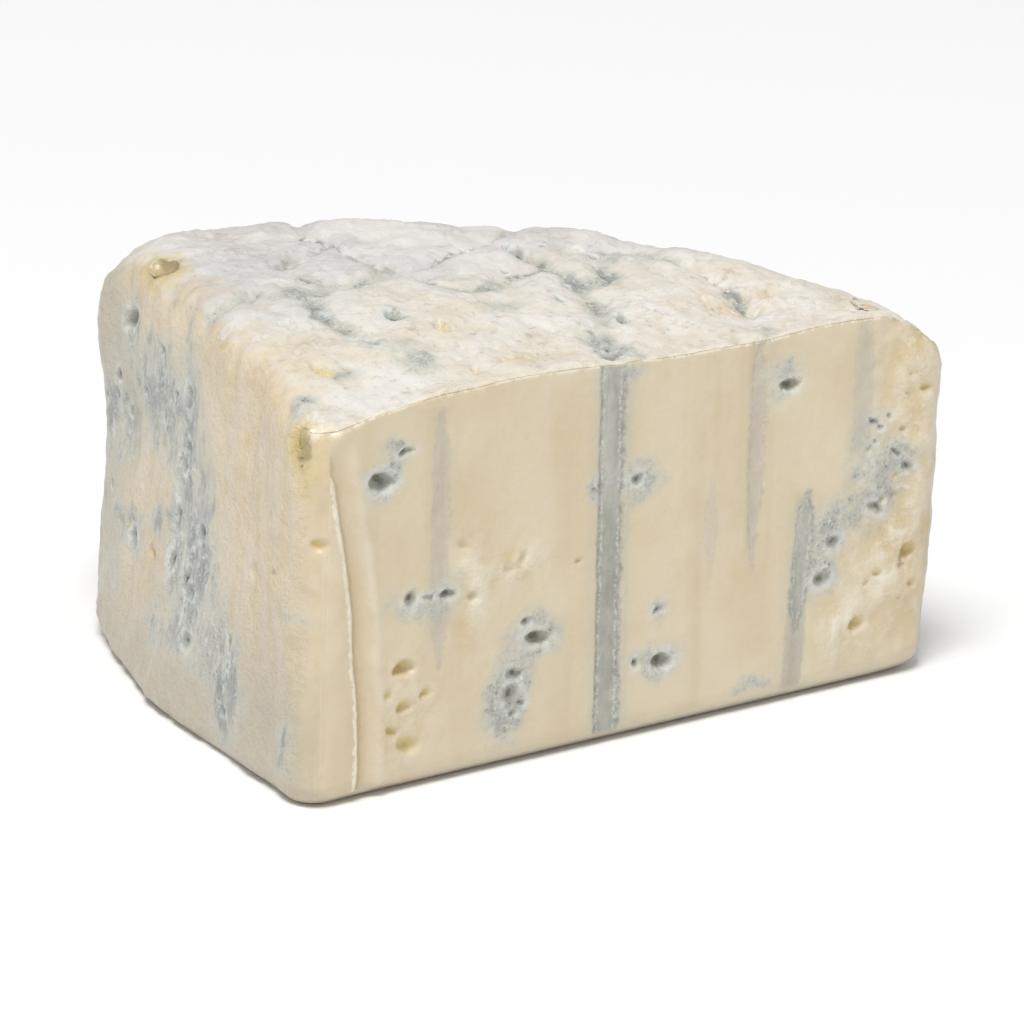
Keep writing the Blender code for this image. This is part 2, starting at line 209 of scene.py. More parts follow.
def blended(values):
    """A Gaussian average round the outline, so that one side's value runs softly into the next."""
    gap = np.abs(columns[:, None] - columns[None])
    gap = np.minimum(gap, whole - gap)
    step = np.abs(np.roll(columns, -1) - columns)
    step = np.minimum(step, whole - step)
    weight = bell(gap, ROUNDING_BLEND) * (step + np.roll(step, 1))[None]
    return (weight * values[None]).sum(axis=1) / weight.sum(axis=1)


TOP_ROUNDING = np.array((1.2, 3.0, 3.0, 11.0, 6.5, 4.0)) * MM
FOOT_ROUNDING = np.array((4.0, 5.5, 6.0, 6.0, 3.2, 3.2)) * MM
top_round = blended(TOP_ROUNDING[side])
foot_round = blended(FOOT_ROUNDING[side])
over_rim = blended(np.isin(side, (1, 2, 3)).astype(float))
on_right_column = blended((side == 0).astype(float))
print("columns round the wall:", len(columns))

# %% [markdown]
# ## The form of the top
# The wheel's flat face isn't quite flat: it tilts with the cheese, swells in the middle, sags
# along the clean cut and drops at the front corner. At the rim it rolls over in a quarter circle.
# All of it is one height for each plan point, as a sculptor would press a sheet of clay.

# %% Height of the top over the plan
EDGE_DIP, EDGE_SAG, EDGE_DIP_WIDTH = 1.9 * MM, 1.6 * MM, 22 * MM
CORNER_DIP, CORNER_DIP_WIDTH = 4.4 * MM, 25 * MM
NET_DEPTH, NET_WIDTH = 1.15 * MM, 2.6 * MM
NET_RUNS = (
    ((58, 95), (52, 84), (48, 76), (50, 69), (50, 61), (52, 53), (57, 51), (66, 55), (76, 58), (88, 65),
     (98, 74)),
    ((52, 53), (44, 50), (35, 48), (29, 44), (26, 36), (27, 26)),
    ((50, 69), (44, 67), (37, 64)),
    ((76, 58), (76, 50), (77, 42), (77, 33), (74, 22), (69, 12), (63, 3)),
    ((53, 51), (54, 43), (59, 36), (66, 40), (77, 42)),
    ((77, 33), (83, 31), (86, 38), (91, 45)),
    ((85, 48), (95, 44), (99, 36), (101, 26), (99, 12)),
    ((17, 67), (10, 59), (4, 52)),
    ((22, 51), (12, 48), (4, 41)),
)
UNEVENNESS = 0.35 * MM
UNEVEN_WAVES, UNEVEN_LENGTHS, UNEVEN_SEED = 7, (13 * MM, 34 * MM), 11


def uneven(x, y, z):
    """A sum of a few long sine waves in seeded directions, the same as in the solid."""
    rng = np.random.default_rng(UNEVEN_SEED)
    total = 0
    for _ in range(UNEVEN_WAVES):
        direction = rng.normal(size=3)
        direction /= np.linalg.norm(direction)
        wave = rng.uniform(*UNEVEN_LENGTHS)
        phase = rng.uniform(0, 2 * math.pi)
        ahead = x * direction[0] + y * direction[1] + z * direction[2]
        total = total + np.sin(ahead * 2 * math.pi / wave + phase)
    return total / math.sqrt(UNEVEN_WAVES)


def softened(run):
    """Cut the corners of a run twice: each piece keeps only its middle half."""
    run = np.array(run, float)
    for _ in range(2):
        early = run[:-1] * 0.75 + run[1:] * 0.25
        late = run[:-1] * 0.25 + run[1:] * 0.75
        middle = np.stack([early, late], axis=1).reshape(-1, 2)
        run = np.concatenate([run[:1], middle, run[-1:]])
    return run


NET = [softened(run) for run in NET_RUNS]


def run_distance(x, y, run):
    """Distance from plan points to a chain of straight pieces given in millimetres."""
    best = np.full(np.shape(x), np.inf)
    for start, end in zip(run[:-1], run[1:]):
        start, end = start * MM, end * MM
        piece = end - start
        share = ((x - start[0]) * piece[0] + (y - start[1]) * piece[1]) / (piece @ piece)
        share = np.clip(share, 0, 1)
        away = np.hypot(x - start[0] - share * piece[0], y - start[1] - share * piece[1])
        best = np.minimum(best, away)
    return best


def top_height(x, y, net_depth=NET_DEPTH):
    """Tilt + crown - dips - net grooves + waves, minus the drop of the rounded shoulder."""
    across = y / (LEFT_CUT * math.sin(WEDGE_ANGLE))
    along = (x - across * LEFT_CUT * math.cos(WEDGE_ANGLE)) / RIGHT_CUT
    height = HEIGHT_FRONT + (HEIGHT_RIGHT - HEIGHT_FRONT) * along
    height += (HEIGHT_LEFT - HEIGHT_FRONT) * across + CROWN * 4 * along * across
    dip = EDGE_DIP + EDGE_SAG * np.sin(np.clip(along, 0, 1) * math.pi)
    height -= dip * bell(y, EDGE_DIP_WIDTH)
    height -= CORNER_DIP * bell(np.hypot(x, y), CORNER_DIP_WIDTH)
    net = np.min([run_distance(x, y, run) for run in NET], axis=0)
    height -= net_depth * bell(net, NET_WIDTH)
    height += UNEVENNESS * uneven(x, y, 0 * x)
    inward = RIM_RADIUS - np.hypot(x - RIM_CENTRE[0], y - RIM_CENTRE[1])
    inward = np.clip(inward, 0, SHOULDER)
    return height - SHOULDER + np.sqrt(SHOULDER**2 - (SHOULDER - inward) ** 2)


print("height over the middle in mm:", round(float(top_height(*np.array((60.0, 40.0)) * MM)) / MM, 1))

# %% [markdown]
# ## The walls as rows of points
# A wall is the outline carried upwards: out round the foot, straight up, and in round the top
# edge. The clean cut's top edge is almost sharp, the rough one is worn round, and the rim turns
# over in the shoulder. The rough cut has slumped outwards at its foot, and the rim has a belly.

# %% Rows of the wall, from the foot to the top edge
FOOT_ROWS, WALL_ROWS, ROUNDING_ROWS = 3, 41, 8
FLAT_INSET = 2 * MM
FOOT_BULGE, FOOT_BULGE_HEIGHT = 7.5 * MM, 46 * MM
FOOT_BULGE_PLACE, FOOT_BULGE_LENGTH = 58 * MM, 38 * MM
RIM_BELLY, RIM_BELLY_HEIGHT, RIM_BELLY_SPREAD = 1.6 * MM, 48 * MM, 26 * MM
LEFT_FORMS = tuple(np.array(form) * MM for form in (
    (24, 64, 5, 12, -1.8),
    (12, 44, 12, 16, 0.9),
    (45, 54, 14, 12, 1.0),
    (56, 42, 4, 22, -0.8),
    (74, 54, 12, 8, 0.8),
    (84, 40, 8, 8, -1.0),
    (34, 16, 8, 12, -0.9),
    (98, 54, 9, 14, 1.4),
))


def left_relief(along, z):
    """Slumped foot plus broad swellings and hollows, each a Gaussian: place, height, sizes, out."""
    slump = bell(along - FOOT_BULGE_PLACE, FOOT_BULGE_LENGTH)
    relief = FOOT_BULGE * slump * np.clip(1 - z / FOOT_BULGE_HEIGHT, 0, 1)
    for place, height, length, tall, out in LEFT_FORMS:
        relief += out * bell(along - place, length) * bell(z - height, tall)
    return relief


def wall_row(zone, share):
    """One row of the wall: the outline moved in by a quarter circle, and out by the relief."""
    quarter = share * math.pi / 2
    inset, z = 0 * foot_round, None
    if zone == "foot":
        inset = foot_round * (1 - math.sin(quarter))
        z = foot_round * (1 - math.cos(quarter))
    elif zone == "wall":
        brim = top_height(*outline.T) - top_round
        z = foot_round + (brim - foot_round) * share
    else:
        deep = top_round + (SHOULDER - top_round) * over_rim
        inset = deep * (1 - math.cos(quarter))
    plan = outline - normals * inset[:, None]
    if z is None:
        z = top_height(*plan.T) - top_round * (1 - math.sin(quarter))
    fade = {"foot": share, "wall": 1, "top": 1 - share}[zone]
    on_left = np.clip(normals @ LEFT_OUT, 0, 1)
    bulge = on_left * left_relief(plan @ LEFT_ALONG, z) * (1 if zone == "foot" else fade)
    belly = RIM_BELLY * bell(z - RIM_BELLY_HEIGHT, RIM_BELLY_SPREAD)
    bulge += (1 - on_right_column) * (1 - on_left) * belly * fade
    bulge += UNEVENNESS * (1 - on_right_column) * uneven(plan[:, 0], plan[:, 1], z) * fade
    plan = plan + normals * bulge[:, None]
    if zone == "top" and share == 1:
        z = top_height(*plan.T)
    return np.column_stack([plan, z])


flat_row = wall_row("foot", 0.0)
flat_row[:, :2] -= normals * FLAT_INSET
rows = [flat_row]
rows += [wall_row("foot", k / FOOT_ROWS) for k in range(FOOT_ROWS)]
rows += [wall_row("wall", k / WALL_ROWS) for k in range(WALL_ROWS + 1)]
rows += [wall_row("top", (k + 1) / ROUNDING_ROWS) for k in range(ROUNDING_ROWS)]
wall = np.array(rows)
print("wall grid:", wall.shape[:2])

# %% [markdown]
# ## The top as a grid between four edges
# The last row of the wall is the border of the top. The inside is filled by a Coons patch: the
# blend of the two long edges, plus the blend of the two short ones, minus the blend of the four
# corners. Near the rounded corners such a patch can fold over its own edge, so it is relaxed
# after that like a stretched film: each point moves to the middle of its four neighbours.

# %% Fill the top and make one closed mesh
FILM_STEPS = 3000


def coons(south, east, north, west):
    """Blend of opposite edges, less the bilinear blend of the corners, on an even grid."""
    u = np.linspace(0, 1, len(south))[:, None, None]
    v = np.linspace(0, 1, len(west))[None, :, None]
    ends = (1 - u) * (1 - v) * south[0] + u * (1 - v) * south[-1]
    ends = ends + (1 - u) * v * north[0] + u * v * north[-1]
    return (1 - v) * south[:, None] + v * north[:, None] + (1 - u) * west[None] + u * east[None] - ends


def relaxed(grid):
    """Repeat the average of the four neighbours inside a fixed border."""
    for _ in range(FILM_STEPS):
        inner = grid[2:, 1:-1] + grid[:-2, 1:-1] + grid[1:-1, 2:] + grid[1:-1, :-2]
        grid[1:-1, 1:-1] = inner / 4
    return grid


def ring_numbers():
    """The top's border as numbers of the ring's points: south, east, north and west."""
    marks = np.cumsum((0,) + counts)
    ring = np.arange(len(columns) + 1) % len(columns)
    south, east, north, west = (ring[a:b + 1] for a, b in zip(marks[:-1], marks[1:]))
    return south, east, north[::-1], west[::-1]


def block_mesh():
    """Points and four-sided faces of the wall and the top, and the ring of the flat base."""
    around = len(columns)
    points = wall.reshape(-1, 3)
    last = (len(wall) - 1) * around
    south, east, north, west = ring_numbers()
    edges = (wall[-1][border, :2] for border in (south, east, north, west))
    plan = relaxed(coons(*edges))
    inner = plan[1:-1, 1:-1].reshape(-1, 2)
    number = np.zeros(plan.shape[:2], int)
    number[1:-1, 1:-1] = len(points) + np.arange(len(inner)).reshape(ALONG_RIGHT - 1, ALONG_LEFT - 1)
    number[:, 0], number[-1] = last + south, last + east
    number[:, -1], number[0] = last + north, last + west
    points = np.concatenate([points, np.column_stack([inner, top_height(*inner.T)])])
    low = np.arange(last).reshape(-1, around)
    beside = np.roll(low, -1, axis=1)
    walls = np.stack([low, beside, beside + around, low + around], axis=-1).reshape(-1, 4)
    tops = np.stack([number[:-1, :-1], number[1:, :-1], number[1:, 1:], number[:-1, 1:]], axis=-1)
    return points, np.concatenate([walls, tops.reshape(-1, 4)]), np.arange(around)[::-1]


points, quads, base_ring = block_mesh()
mesh = bpy.data.meshes.new(NODE)
mesh.from_pydata(points, [], quads.tolist() + [base_ring.tolist()])
print("smooth block:", len(points), "points,", len(quads), "faces")

# %% [markdown]
# ## Where the marks are
# Every mark of the cheese is measured on the face that carries it: along and up the clean cut,
# along and up the rough cut, or across the top. A small frame of three directions for each face
# turns those two numbers into a place in space, so one function can treat all faces alike.

# %% Faces of the cheese as frames


def face_frame(face):
    """Rows of three directions: along the face, up the face and out of it."""
    if face == "right":
        return np.array(((1, 0, 0), (0, 0, 1), (0, -1, 0)), float)
    if face == "left":
        return np.array(((*LEFT_ALONG, 0), (0, 0, 1), (*LEFT_OUT, 0)))
    return np.eye(3)


def spot(face, a, b):
    """The place in space of a mark given in millimetres on a face."""
    a, b = a * MM, b * MM
    if face == "right":
        return np.array((a, 0, b))
    if face == "left":
        return np.append(a * LEFT_ALONG + LEFT_OUT * left_relief(a, b), b)
    return np.array((a, b, float(top_height(np.array(a), np.array(b)))))


def turned_frame(face, degrees):
    """A face's frame, turned in its own plane."""
    frame_rows = face_frame(face)
    t = math.radians(degrees)
    spin = np.array(((math.cos(t), math.sin(t)), (-math.sin(t), math.cos(t))))
    frame_rows[:2] = spin @ frame_rows[:2]
    return frame_rows


def reach(where, face, a, b, half_a, half_b, degrees=0, half_out=None):
    """Distance to a mark's middle, as a share of its half sizes, turned by some degrees."""
    half_out = half_out or 1.2 * max(half_a, half_b)
    sizes = np.array((half_a, half_b, half_out)) * MM
    local = (where - spot(face, a, b)) @ turned_frame(face, degrees).T
    return np.linalg.norm(local / sizes, axis=1)


def on_faces(**marks):
    """One flat list of marks, each with the name of its face in front."""
    return tuple((face, *mark) for face, listed in marks.items() for mark in listed)


# Eyes: place along and up in mm, half sizes, depth, turn in degrees, and what lines them
EYES = on_faces(
    right=(
        (15.3, 56.2, 2.2, 1.4, 2.2, -12, "blue"), (20, 60.7, 1.4, 0.6, 0.8, 8, "blue"),
        (21.5, 34.4, 1.1, 1.3, 1, 0, "blue"), (28.8, 33.7, 1.4, 0.8, 1.3, -5, "blue"),
        (24.8, 33.8, 0.9, 0.5, 0.5, 0, "blue"), (33.9, 32.6, 1.6, 1.3, 1.2, 20, "pale"),
        (32, 42, 1.6, 0.9, 0.7, -30, "pale"), (41.3, 35.8, 1.6, 1.3, 0.8, -30, "pale"),
        (43.8, 37.6, 0.9, 1.6, 0.7, 0, "pale"), (55.5, 34.6, 0.9, 0.6, 0.7, 0, "pale"),
        (47.3, 22.2, 2.2, 1.2, 2, -15, "blue"), (44.8, 25.8, 0.9, 0.8, 0.6, 0, "blue"),
        (42.5, 16.6, 1.2, 1, 0.9, 0, "blue"), (42.2, 12.9, 1.5, 1.6, 1.1, 0, "blue"),
        (44.2, 11.2, 1, 0.7, 0.8, 0, "blue"), (20.2, 22.1, 2.2, 1.5, 2, -10, "gold"),
        (20.2, 15.2, 1.5, 1.3, 1.3, 0, "gold"), (24.7, 16.8, 1.4, 1, 1, 15, "gold"),
        (17, 17.8, 1.2, 1, 0.6, 0, "gold"), (17.8, 11.1, 1.3, 1, 1, 0, "gold"),
        (21.2, 8, 2.3, 1.6, 1.4, -20, "gold"), (73.5, 12.8, 1.9, 1.4, 2, -20, "blue"),
        (67.9, 13.8, 0.6, 0.9, 0.9, 0, "blue"), (72.5, 22.6, 1.2, 0.6, 0.5, 20, "blue"),
        (99.2, 58.7, 1.9, 1, 1.8, -5, "blue"), (107.4, 21.4, 1.6, 1.4, 1, 0, "blue"),
        (109.5, 28, 1.3, 1.2, 0.9, 0, "blue"), (122.6, 42.3, 1.1, 0.6, 0.8, -35, "blue"),
        (125.2, 39, 1.3, 0.8, 0.8, -30, "blue"), (118.6, 32.6, 1.6, 0.9, 0.8, -30, "blue"),
        (117.6, 48.6, 1.2, 0.5, 0.6, -30, "blue"), (125.6, 23.3, 1.8, 1.7, 1.8, 0, "gold"),
        (115.3, 11.4, 2, 1.5, 1.5, -20, "gold"), (128.3, 53, 1.4, 1, 1, 0, "gold"),
        (3.5, 47.2, 1.5, 1.1, 1.3, 0, "gold"), (67.6, 47.2, 1.2, 1, 0.7, 0, "blue"),
    ),
    left=(
        (84.6, 61, 2.1, 1.2, 2.4, -50, "blue"), (4.6, 64.5, 2.6, 4.2, 1.5, 12, "gold"),
        (65.5, 24.3, 2, 1.5, 1.4, 0, "gold"), (22, 36, 1.2, 2, 1.1, 10, "pale"),
        (12, 39.2, 2.4, 0.9, 0.7, -8, "pale"), (29.5, 8.3, 1, 0.7, 0.8, 0, "blue"),
        (76, 24, 1.7, 1.4, 1, 0, "blue"), (45, 35, 1.4, 1.3, 0.8, 0, "blue"),
        (47, 24, 1.6, 1.2, 0.8, 0, "blue"), (45, 16, 1.2, 1.3, 0.7, 0, "blue"),
        (56.5, 33, 0.9, 2.4, 0.9, -5, "blue"), (56.8, 26.5, 0.9, 2, 0.9, 0, "blue"),
        (55, 46, 1.4, 1.5, 0.7, 0, "blue"), (56, 55.5, 1.1, 2.2, 0.7, 0, "blue"),
        (67, 61, 1.6, 0.9, 0.8, 20, "pale"),
    ),
    top=(
        (42.4, 23.3, 1.4, 2.8, 1.8, -12, "gold"), (14.4, 17.4, 1.8, 2.8, 2.2, 12, "gold"),
        (14.5, 75, 3, 4.6, 1.5, 20, "gold"), (26.5, 26.4, 0.9, 0.9, 1, 0, "blue"),
        (27.2, 21.6, 1.1, 1.8, 1.2, 0, "blue"), (37.6, 30.8, 1.2, 1.7, 1.2, 0, "blue"),
        (76.4, 51.3, 1, 2.1, 1.5, -20, "blue"), (77, 46.4, 1.7, 2, 0.9, 0, "pale"),
        (69, 26.6, 0.9, 1.2, 1, 0, "blue"), (75, 16.2, 1, 1.9, 1.3, -30, "blue"),
        (26.2, 37.2, 1.3, 1, 0.9, 0, "blue"), (35, 53.4, 1.2, 1, 0.8, 0, "blue"),
        (101, 31, 1, 2.4, 0.7, 0, "pale"), (106, 16.2, 3.2, 1.2, 0.9, 15, "pale"),
        (99, 12.4, 2.2, 1.1, 0.9, 15, "pale"), (93.8, 13, 0.8, 3, 0.8, -30, "pale"),
        (111.5, 9.2, 1.2, 1.6, 0.7, 0, "pale"), (46, 8, 1, 2.2, 0.9, -30, "pale"),
        (37.6, 6, 0.9, 1.6, 0.8, -10, "pale"),
    ),
)
# Patches of small pits: middle, half sizes, how many, smallest and largest half size, kind
PIT_PATCHES = on_faces(
    left=(
        (56, 44, 2.4, 18, 9, 0.45, 0.8, "blue"), (45.5, 29, 5, 12, 10, 0.45, 0.85, "blue"),
        (69, 53, 8, 8, 8, 0.45, 0.8, "blue"), (78, 26, 7, 5, 5, 0.5, 0.85, "gold"),
        (29, 13, 3, 9, 4, 0.45, 0.75, "blue"), (18, 40, 9, 9, 6, 0.5, 0.9, "pale"),
        (90, 40, 6, 14, 6, 0.45, 0.8, "blue"),
    ),
    right=(
        (119, 41, 6, 9, 4, 0.4, 0.65, "blue"), (119, 41, 6, 9, 5, 0.6, 1, "pale"),
        (122, 16, 8, 12, 8, 0.5, 1, "pale"), (127, 50, 3.5, 11, 5, 0.5, 0.9, "pale"),
        (42, 13, 3, 5, 3, 0.4, 0.7, "blue"),
    ),
    top=(
        (28, 46, 4, 6, 5, 0.45, 0.9, "blue"), (40, 7, 17, 3.5, 9, 0.5, 1.1, "pale"),
        (66, 8, 3, 7, 5, 0.45, 0.8, "blue"), (101, 14, 12, 6, 7, 0.5, 1.2, "pale"),
        (10, 24, 6, 10, 6, 0.5, 1.1, "pale"), (78, 40, 10, 12, 6, 0.45, 0.9, "blue"),
    ),
)
PIT_SEED = 5
# The rough cut was torn upwards, so its pits are drawn out upright
PIT_STRETCH = {"left": (0.75, 1.9), "right": (1.1, 0.9), "top": (1.0, 1.3)}


def scattered_pits():
    """Random places in each oval patch, evenly over its area, with random sizes and turns."""
    rng = np.random.default_rng(PIT_SEED)
    pits = []
    for face, a, b, half_a, half_b, count, smallest, largest, kind in PIT_PATCHES:
        radius, angle = np.sqrt(rng.random(count)), rng.random(count) * math.tau
        size, spin = rng.uniform(smallest, largest, count), rng.uniform(-25, 25, count)
        wide, tall = PIT_STRETCH[face]
        for r, t, half, degrees in zip(radius, angle, size, spin):
            place = (a + half_a * r * math.cos(t), b + half_b * r * math.sin(t))
            pits.append((face, *place, half * wide, half * tall, half * 0.9, degrees, kind))
    return tuple(pits)


ALL_EYES = EYES + scattered_pits()
print("eyes:", len(EYES), "and small pits:", len(ALL_EYES) - len(EYES))

# %% [markdown]
# ## Clouds of mould
# Blue mould grows wherever air got in: along the needle tracks, round the eyes and in the loose
# curd of the rough cut. It has no edge, so each cloud is only a place, two half sizes and a
# strength. The material later breaks the sum of them up into threads and specks.

# %% Clouds of mould and of other tints
MOULD = on_faces(
    right=(
        (15.3, 56.2, 3.8, 3.2, 0.8), (18.5, 62, 3.2, 2, 0.45), (24.5, 33.8, 7.5, 3, 0.6),
        (46.5, 23.5, 4.6, 4, 0.8), (42.5, 15, 3.4, 4.2, 0.85), (40, 9.5, 3.2, 3.6, 0.7),
        (67.5, 47.2, 4.4, 3, 0.8), (59, 48, 1.8, 2.6, 0.7), (73, 13, 3.8, 3.6, 0.8),
        (68, 13.8, 1.8, 1.8, 0.5), (72.5, 22.5, 2.4, 2, 0.5), (97.5, 60.5, 4.5, 3.2, 0.55),
        (108, 30, 5, 4.5, 0.85), (107, 21.5, 3.6, 3.2, 0.8), (117, 41, 5.5, 9, 0.42),
        (122.5, 40.5, 5.5, 5, 0.42), (119, 33, 4.5, 3.6, 0.35), (92.3, 4.5, 3.6, 1.6, 0.6),
        (41, 11, 3.6, 6.5, 0.6),
    ),
    left=(
        (50, 38, 9, 27, 0.5), (70, 50, 12, 12, 0.35), (30, 14, 8, 10, 0.3), (55.5, 47, 3.6, 17, 0.85),
        (55.5, 31, 3.2, 9, 0.75), (45, 30, 5.5, 12, 0.85), (44, 17, 6, 5, 0.65), (66, 52, 7, 8, 0.65),
        (75, 53, 5, 7, 0.9), (60, 14, 5, 5, 0.5), (28, 12, 4.2, 9, 0.75), (36, 22, 4, 7, 0.65),
        (75.5, 25, 4.5, 4, 0.7), (83, 25, 3, 3, 0.55), (87, 40, 5, 8, 0.65), (92, 44, 4, 8, 0.6),
        (65, 31, 3, 3, 0.55), (84, 59, 4, 5, 0.6), (8, 10, 4, 6, 0.45), (3, 33, 6, 1.8, 0.35),
        (97, 30, 6, 15, 0.35), (86, 15, 8, 6, 0.3),
    ),
    top=(
        (28, 46, 4, 5.5, 0.75), (35, 53, 3, 4, 0.5), (40, 49, 6, 2.5, 0.5), (26, 37, 2.2, 2.2, 0.6),
        (27, 30, 1.8, 4, 0.5), (27, 21.5, 1.8, 2.2, 0.8), (31, 13.5, 3.6, 5, 0.7),
        (37.5, 31, 2.2, 2.8, 0.6), (57, 27, 5, 2.2, 0.55), (60, 36.5, 4.5, 3, 0.6),
        (73, 22, 3, 3, 0.55), (75, 16, 2.2, 2.8, 0.6), (66, 7, 3.4, 7.5, 0.85), (17, 14.5, 3, 2.2, 0.7),
        (5, 10, 4, 2.4, 0.6), (77, 33, 3, 3.4, 0.55), (84, 33, 3, 4, 0.55), (89, 42, 3.4, 3, 0.45),
        (95, 3, 2, 3.6, 0.5),
    ),
)
WARM = on_faces(
    right=(
        (127, 22, 4, 13, 0.7), (128, 52, 4.5, 8, 0.6), (117, 12, 6, 6, 0.15), (21, 14, 5, 10, 0.35),
    ),
    left=(
        (64, 26, 4, 5, 0.6), (76, 75, 14, 6, 0.75), (10, 66, 12, 6, 0.4), (16, 40, 10, 5, 0.35),
    ),
    top=(
        (37.5, 6, 2.2, 3.4, 0.6), (46, 7.5, 3.2, 2.8, 0.7), (55, 6, 6, 2, 0.5), (8, 18, 5, 6, 0.5),
        (14, 27, 4, 4, 0.35), (105, 16, 5, 2.4, 0.55), (94, 12, 3, 4, 0.5), (77, 46, 3, 3, 0.5),
        (16, 57, 5, 7, 0.4),
    ),
)
PINK = on_faces(
    left=(
        (75, 12, 22, 12, 0.8), (90, 60, 12, 12, 0.5), (24, 62, 4, 9, 0.9), (36, 50, 14, 16, 0.4),
        (92, 25, 8, 10, 0.7),
    ),
)
MILKY = on_faces(
    right=(
        (21, 14, 6, 10, 0.7), (33, 30, 3.5, 3.5, 0.6), (43, 36, 5, 4, 0.5), (30, 37, 3.5, 3.5, 0.4),
        (113, 12, 5, 5, 0.6), (122, 24, 4, 4, 0.7), (122, 60, 8, 10, 0.5), (99, 57.5, 3.4, 2.6, 0.6),
        (2, 42, 4, 9, 0.5),
    ),
    left=(
        (4, 60, 3, 6, 0.8),
    ),
    top=(
        (10, 8, 12, 5, 0.8), (40, 3, 20, 3, 0.6), (92, 24, 8, 10, 0.7),
    ),
)
DENTS = on_faces(
    right=(
        (33.5, 33, 3.5, 10, 0.75), (21, 14, 5, 10, 0.7), (43, 36, 4.5, 3.5, 0.9), (123, 30, 8, 20, 1),
        (126, 58, 5, 10, 0.8), (112, 12, 6, 7, 0.7), (106, 25, 4, 7, 0.7), (42, 14, 4, 7, 0.8),
    ),
)
print("clouds:", len(MOULD), "of mould,", len(WARM), "warm,", len(PINK), "pink,", len(MILKY), "milky")

# %% [markdown]
# ## Put points where the detail is
# A surface as fine everywhere as an eye needs would have millions of faces. The block is split
# once over all that is cut or pressed, and once more only near eyes, one track and the wire's mark.
# Blender's subdivide operator keeps the borders between coarse and fine closed.

# %% Split the faces near the marks
WIRE_FOOT, WIRE_LEAN, WIRE_LOW, WIRE_HIGH = 10.4 * MM, 7.2 * MM, 5 * MM, 65 * MM
# How much wider a bowl is than the dark or golden spot at its bottom
BOWL = {"blue": 1.35, "gold": 1.15, "pale": 1.3}
# Grooves of the needles: place along the cut, half width, top and foot in mm
TRACKS = ((61.9, 2.6, 71, 1.5), (92.6, 1.7, 70, 27), (103.2, 1.9, 38.5, 2), (27.2, 1.8, 67, 23))


def wire_offset(x, z):
    """How far right of the wire's first touch a point of the clean cut is: a parabola in height."""
    rise = np.clip((z - WIRE_LOW) / (WIRE_HIGH - WIRE_LOW), 0, 1.1)
    return x - (WIRE_FOOT - WIRE_LEAN * rise**2)


def coordinates(mesh):
    """All points of a mesh as one array."""
    values = np.empty(len(mesh.vertices) * 3)
    mesh.vertices.foreach_get("co", values)
    return values.reshape(-1, 3)


def split(mesh, wanted):
    """Halve every edge whose middle is wanted, and fill the faces that have them."""
    ends = np.empty(len(mesh.edges) * 2, np.int64)
    mesh.edges.foreach_get("vertices", ends)
    where = coordinates(mesh)[ends.reshape(-1, 2)].mean(axis=1)
    bm = bmesh.new()
    bm.from_mesh(mesh)
    bm.edges.ensure_lookup_table()
    chosen = [bm.edges[k] for k in np.flatnonzero(wanted(where))]
    bmesh.ops.subdivide_edges(bm, edges=chosen, cuts=1, use_grid_fill=True)
    bm.to_mesh(mesh)
    bm.free()


def cut_or_pressed(where):
    """Everything but the low part of the rim and the base."""
    inward = RIM_RADIUS - np.hypot(*(where[:, :2] - RIM_CENTRE).T)
    return (where[:, 2] > 0.3 * MM) & ((inward > 3.2 * MM) | (where[:, 2] > 50 * MM))


def near_marks(where):
    """Near an eye, a track or the wire's mark."""
    near = np.zeros(len(where), bool)
    for face, a, b, half_a, half_b, _, degrees, kind in ALL_EYES:
        half_a, half_b = half_a * BOWL[kind] + 0.5, half_b * BOWL[kind] + 0.5
        near |= reach(where, face, a, b, half_a, half_b, degrees) < 1
    on_right = where[:, 1] < 0.6 * MM
    place, half_width, _, low = TRACKS[0]
    gap = np.abs(np.abs(where[:, 0] - place * MM) - half_width * MM)
    near |= on_right & (gap < 0.7 * MM) & (where[:, 2] > low * MM)
    wire = wire_offset(where[:, 0], where[:, 2])
    near |= on_right & (np.abs(wire) < 1.0 * MM) & (where[:, 2] < 66 * MM)
    return near


split(mesh, cut_or_pressed)
print("after the first split:", len(mesh.polygons), "faces")
split(mesh, near_marks)
print("after the second split:", len(mesh.polygons), "faces")

# %% [markdown]
# ## Lumps without a pattern
# Curd, rind and crumb are random but smooth. The usual tool is a lattice of random numbers, read
# between its points with a smooth curve. Adding it to itself at half the size and half the
# strength gives lumps on lumps. A hash of the lattice point stands for a stored table.

# %% Smooth random lumps


def lumps(where, size, seed):
    """Random numbers from -1 to 1 on a cubic lattice, blended by 3t^2 - 2t^3 along each axis."""
    cell = where / (size * MM) + seed * 7.31
    base = np.floor(cell).astype(np.int64)
    t = cell - base
    t = t * t * (3 - 2 * t)
    total = np.zeros(len(where))
    for corner in itertools.product((0, 1), repeat=3):
        key = (base + corner) @ np.array((73856093, 19349663, 83492791)) + seed * 2654435761
        key = (key ^ (key >> 13)) * 1274126177
        key = (key ^ (key >> 16)) & 0xFFFFFF
        share = np.where(corner, t, 1 - t).prod(axis=1)
        total += share * (key / 0x7FFFFF - 1)
    return total


def rough(where, size, seed, octaves=3):
    """Lumps plus half as strong lumps of half the size, and so on."""
    return sum(lumps(where, size / 2**k, seed + k) / 2**k for k in range(octaves))


def smoothstep(value, low, high):
    """0 below low, 1 above high and a smooth climb between."""
    t = np.clip((value - low) / (high - low), 0, 1)
    return t * t * (3 - 2 * t)


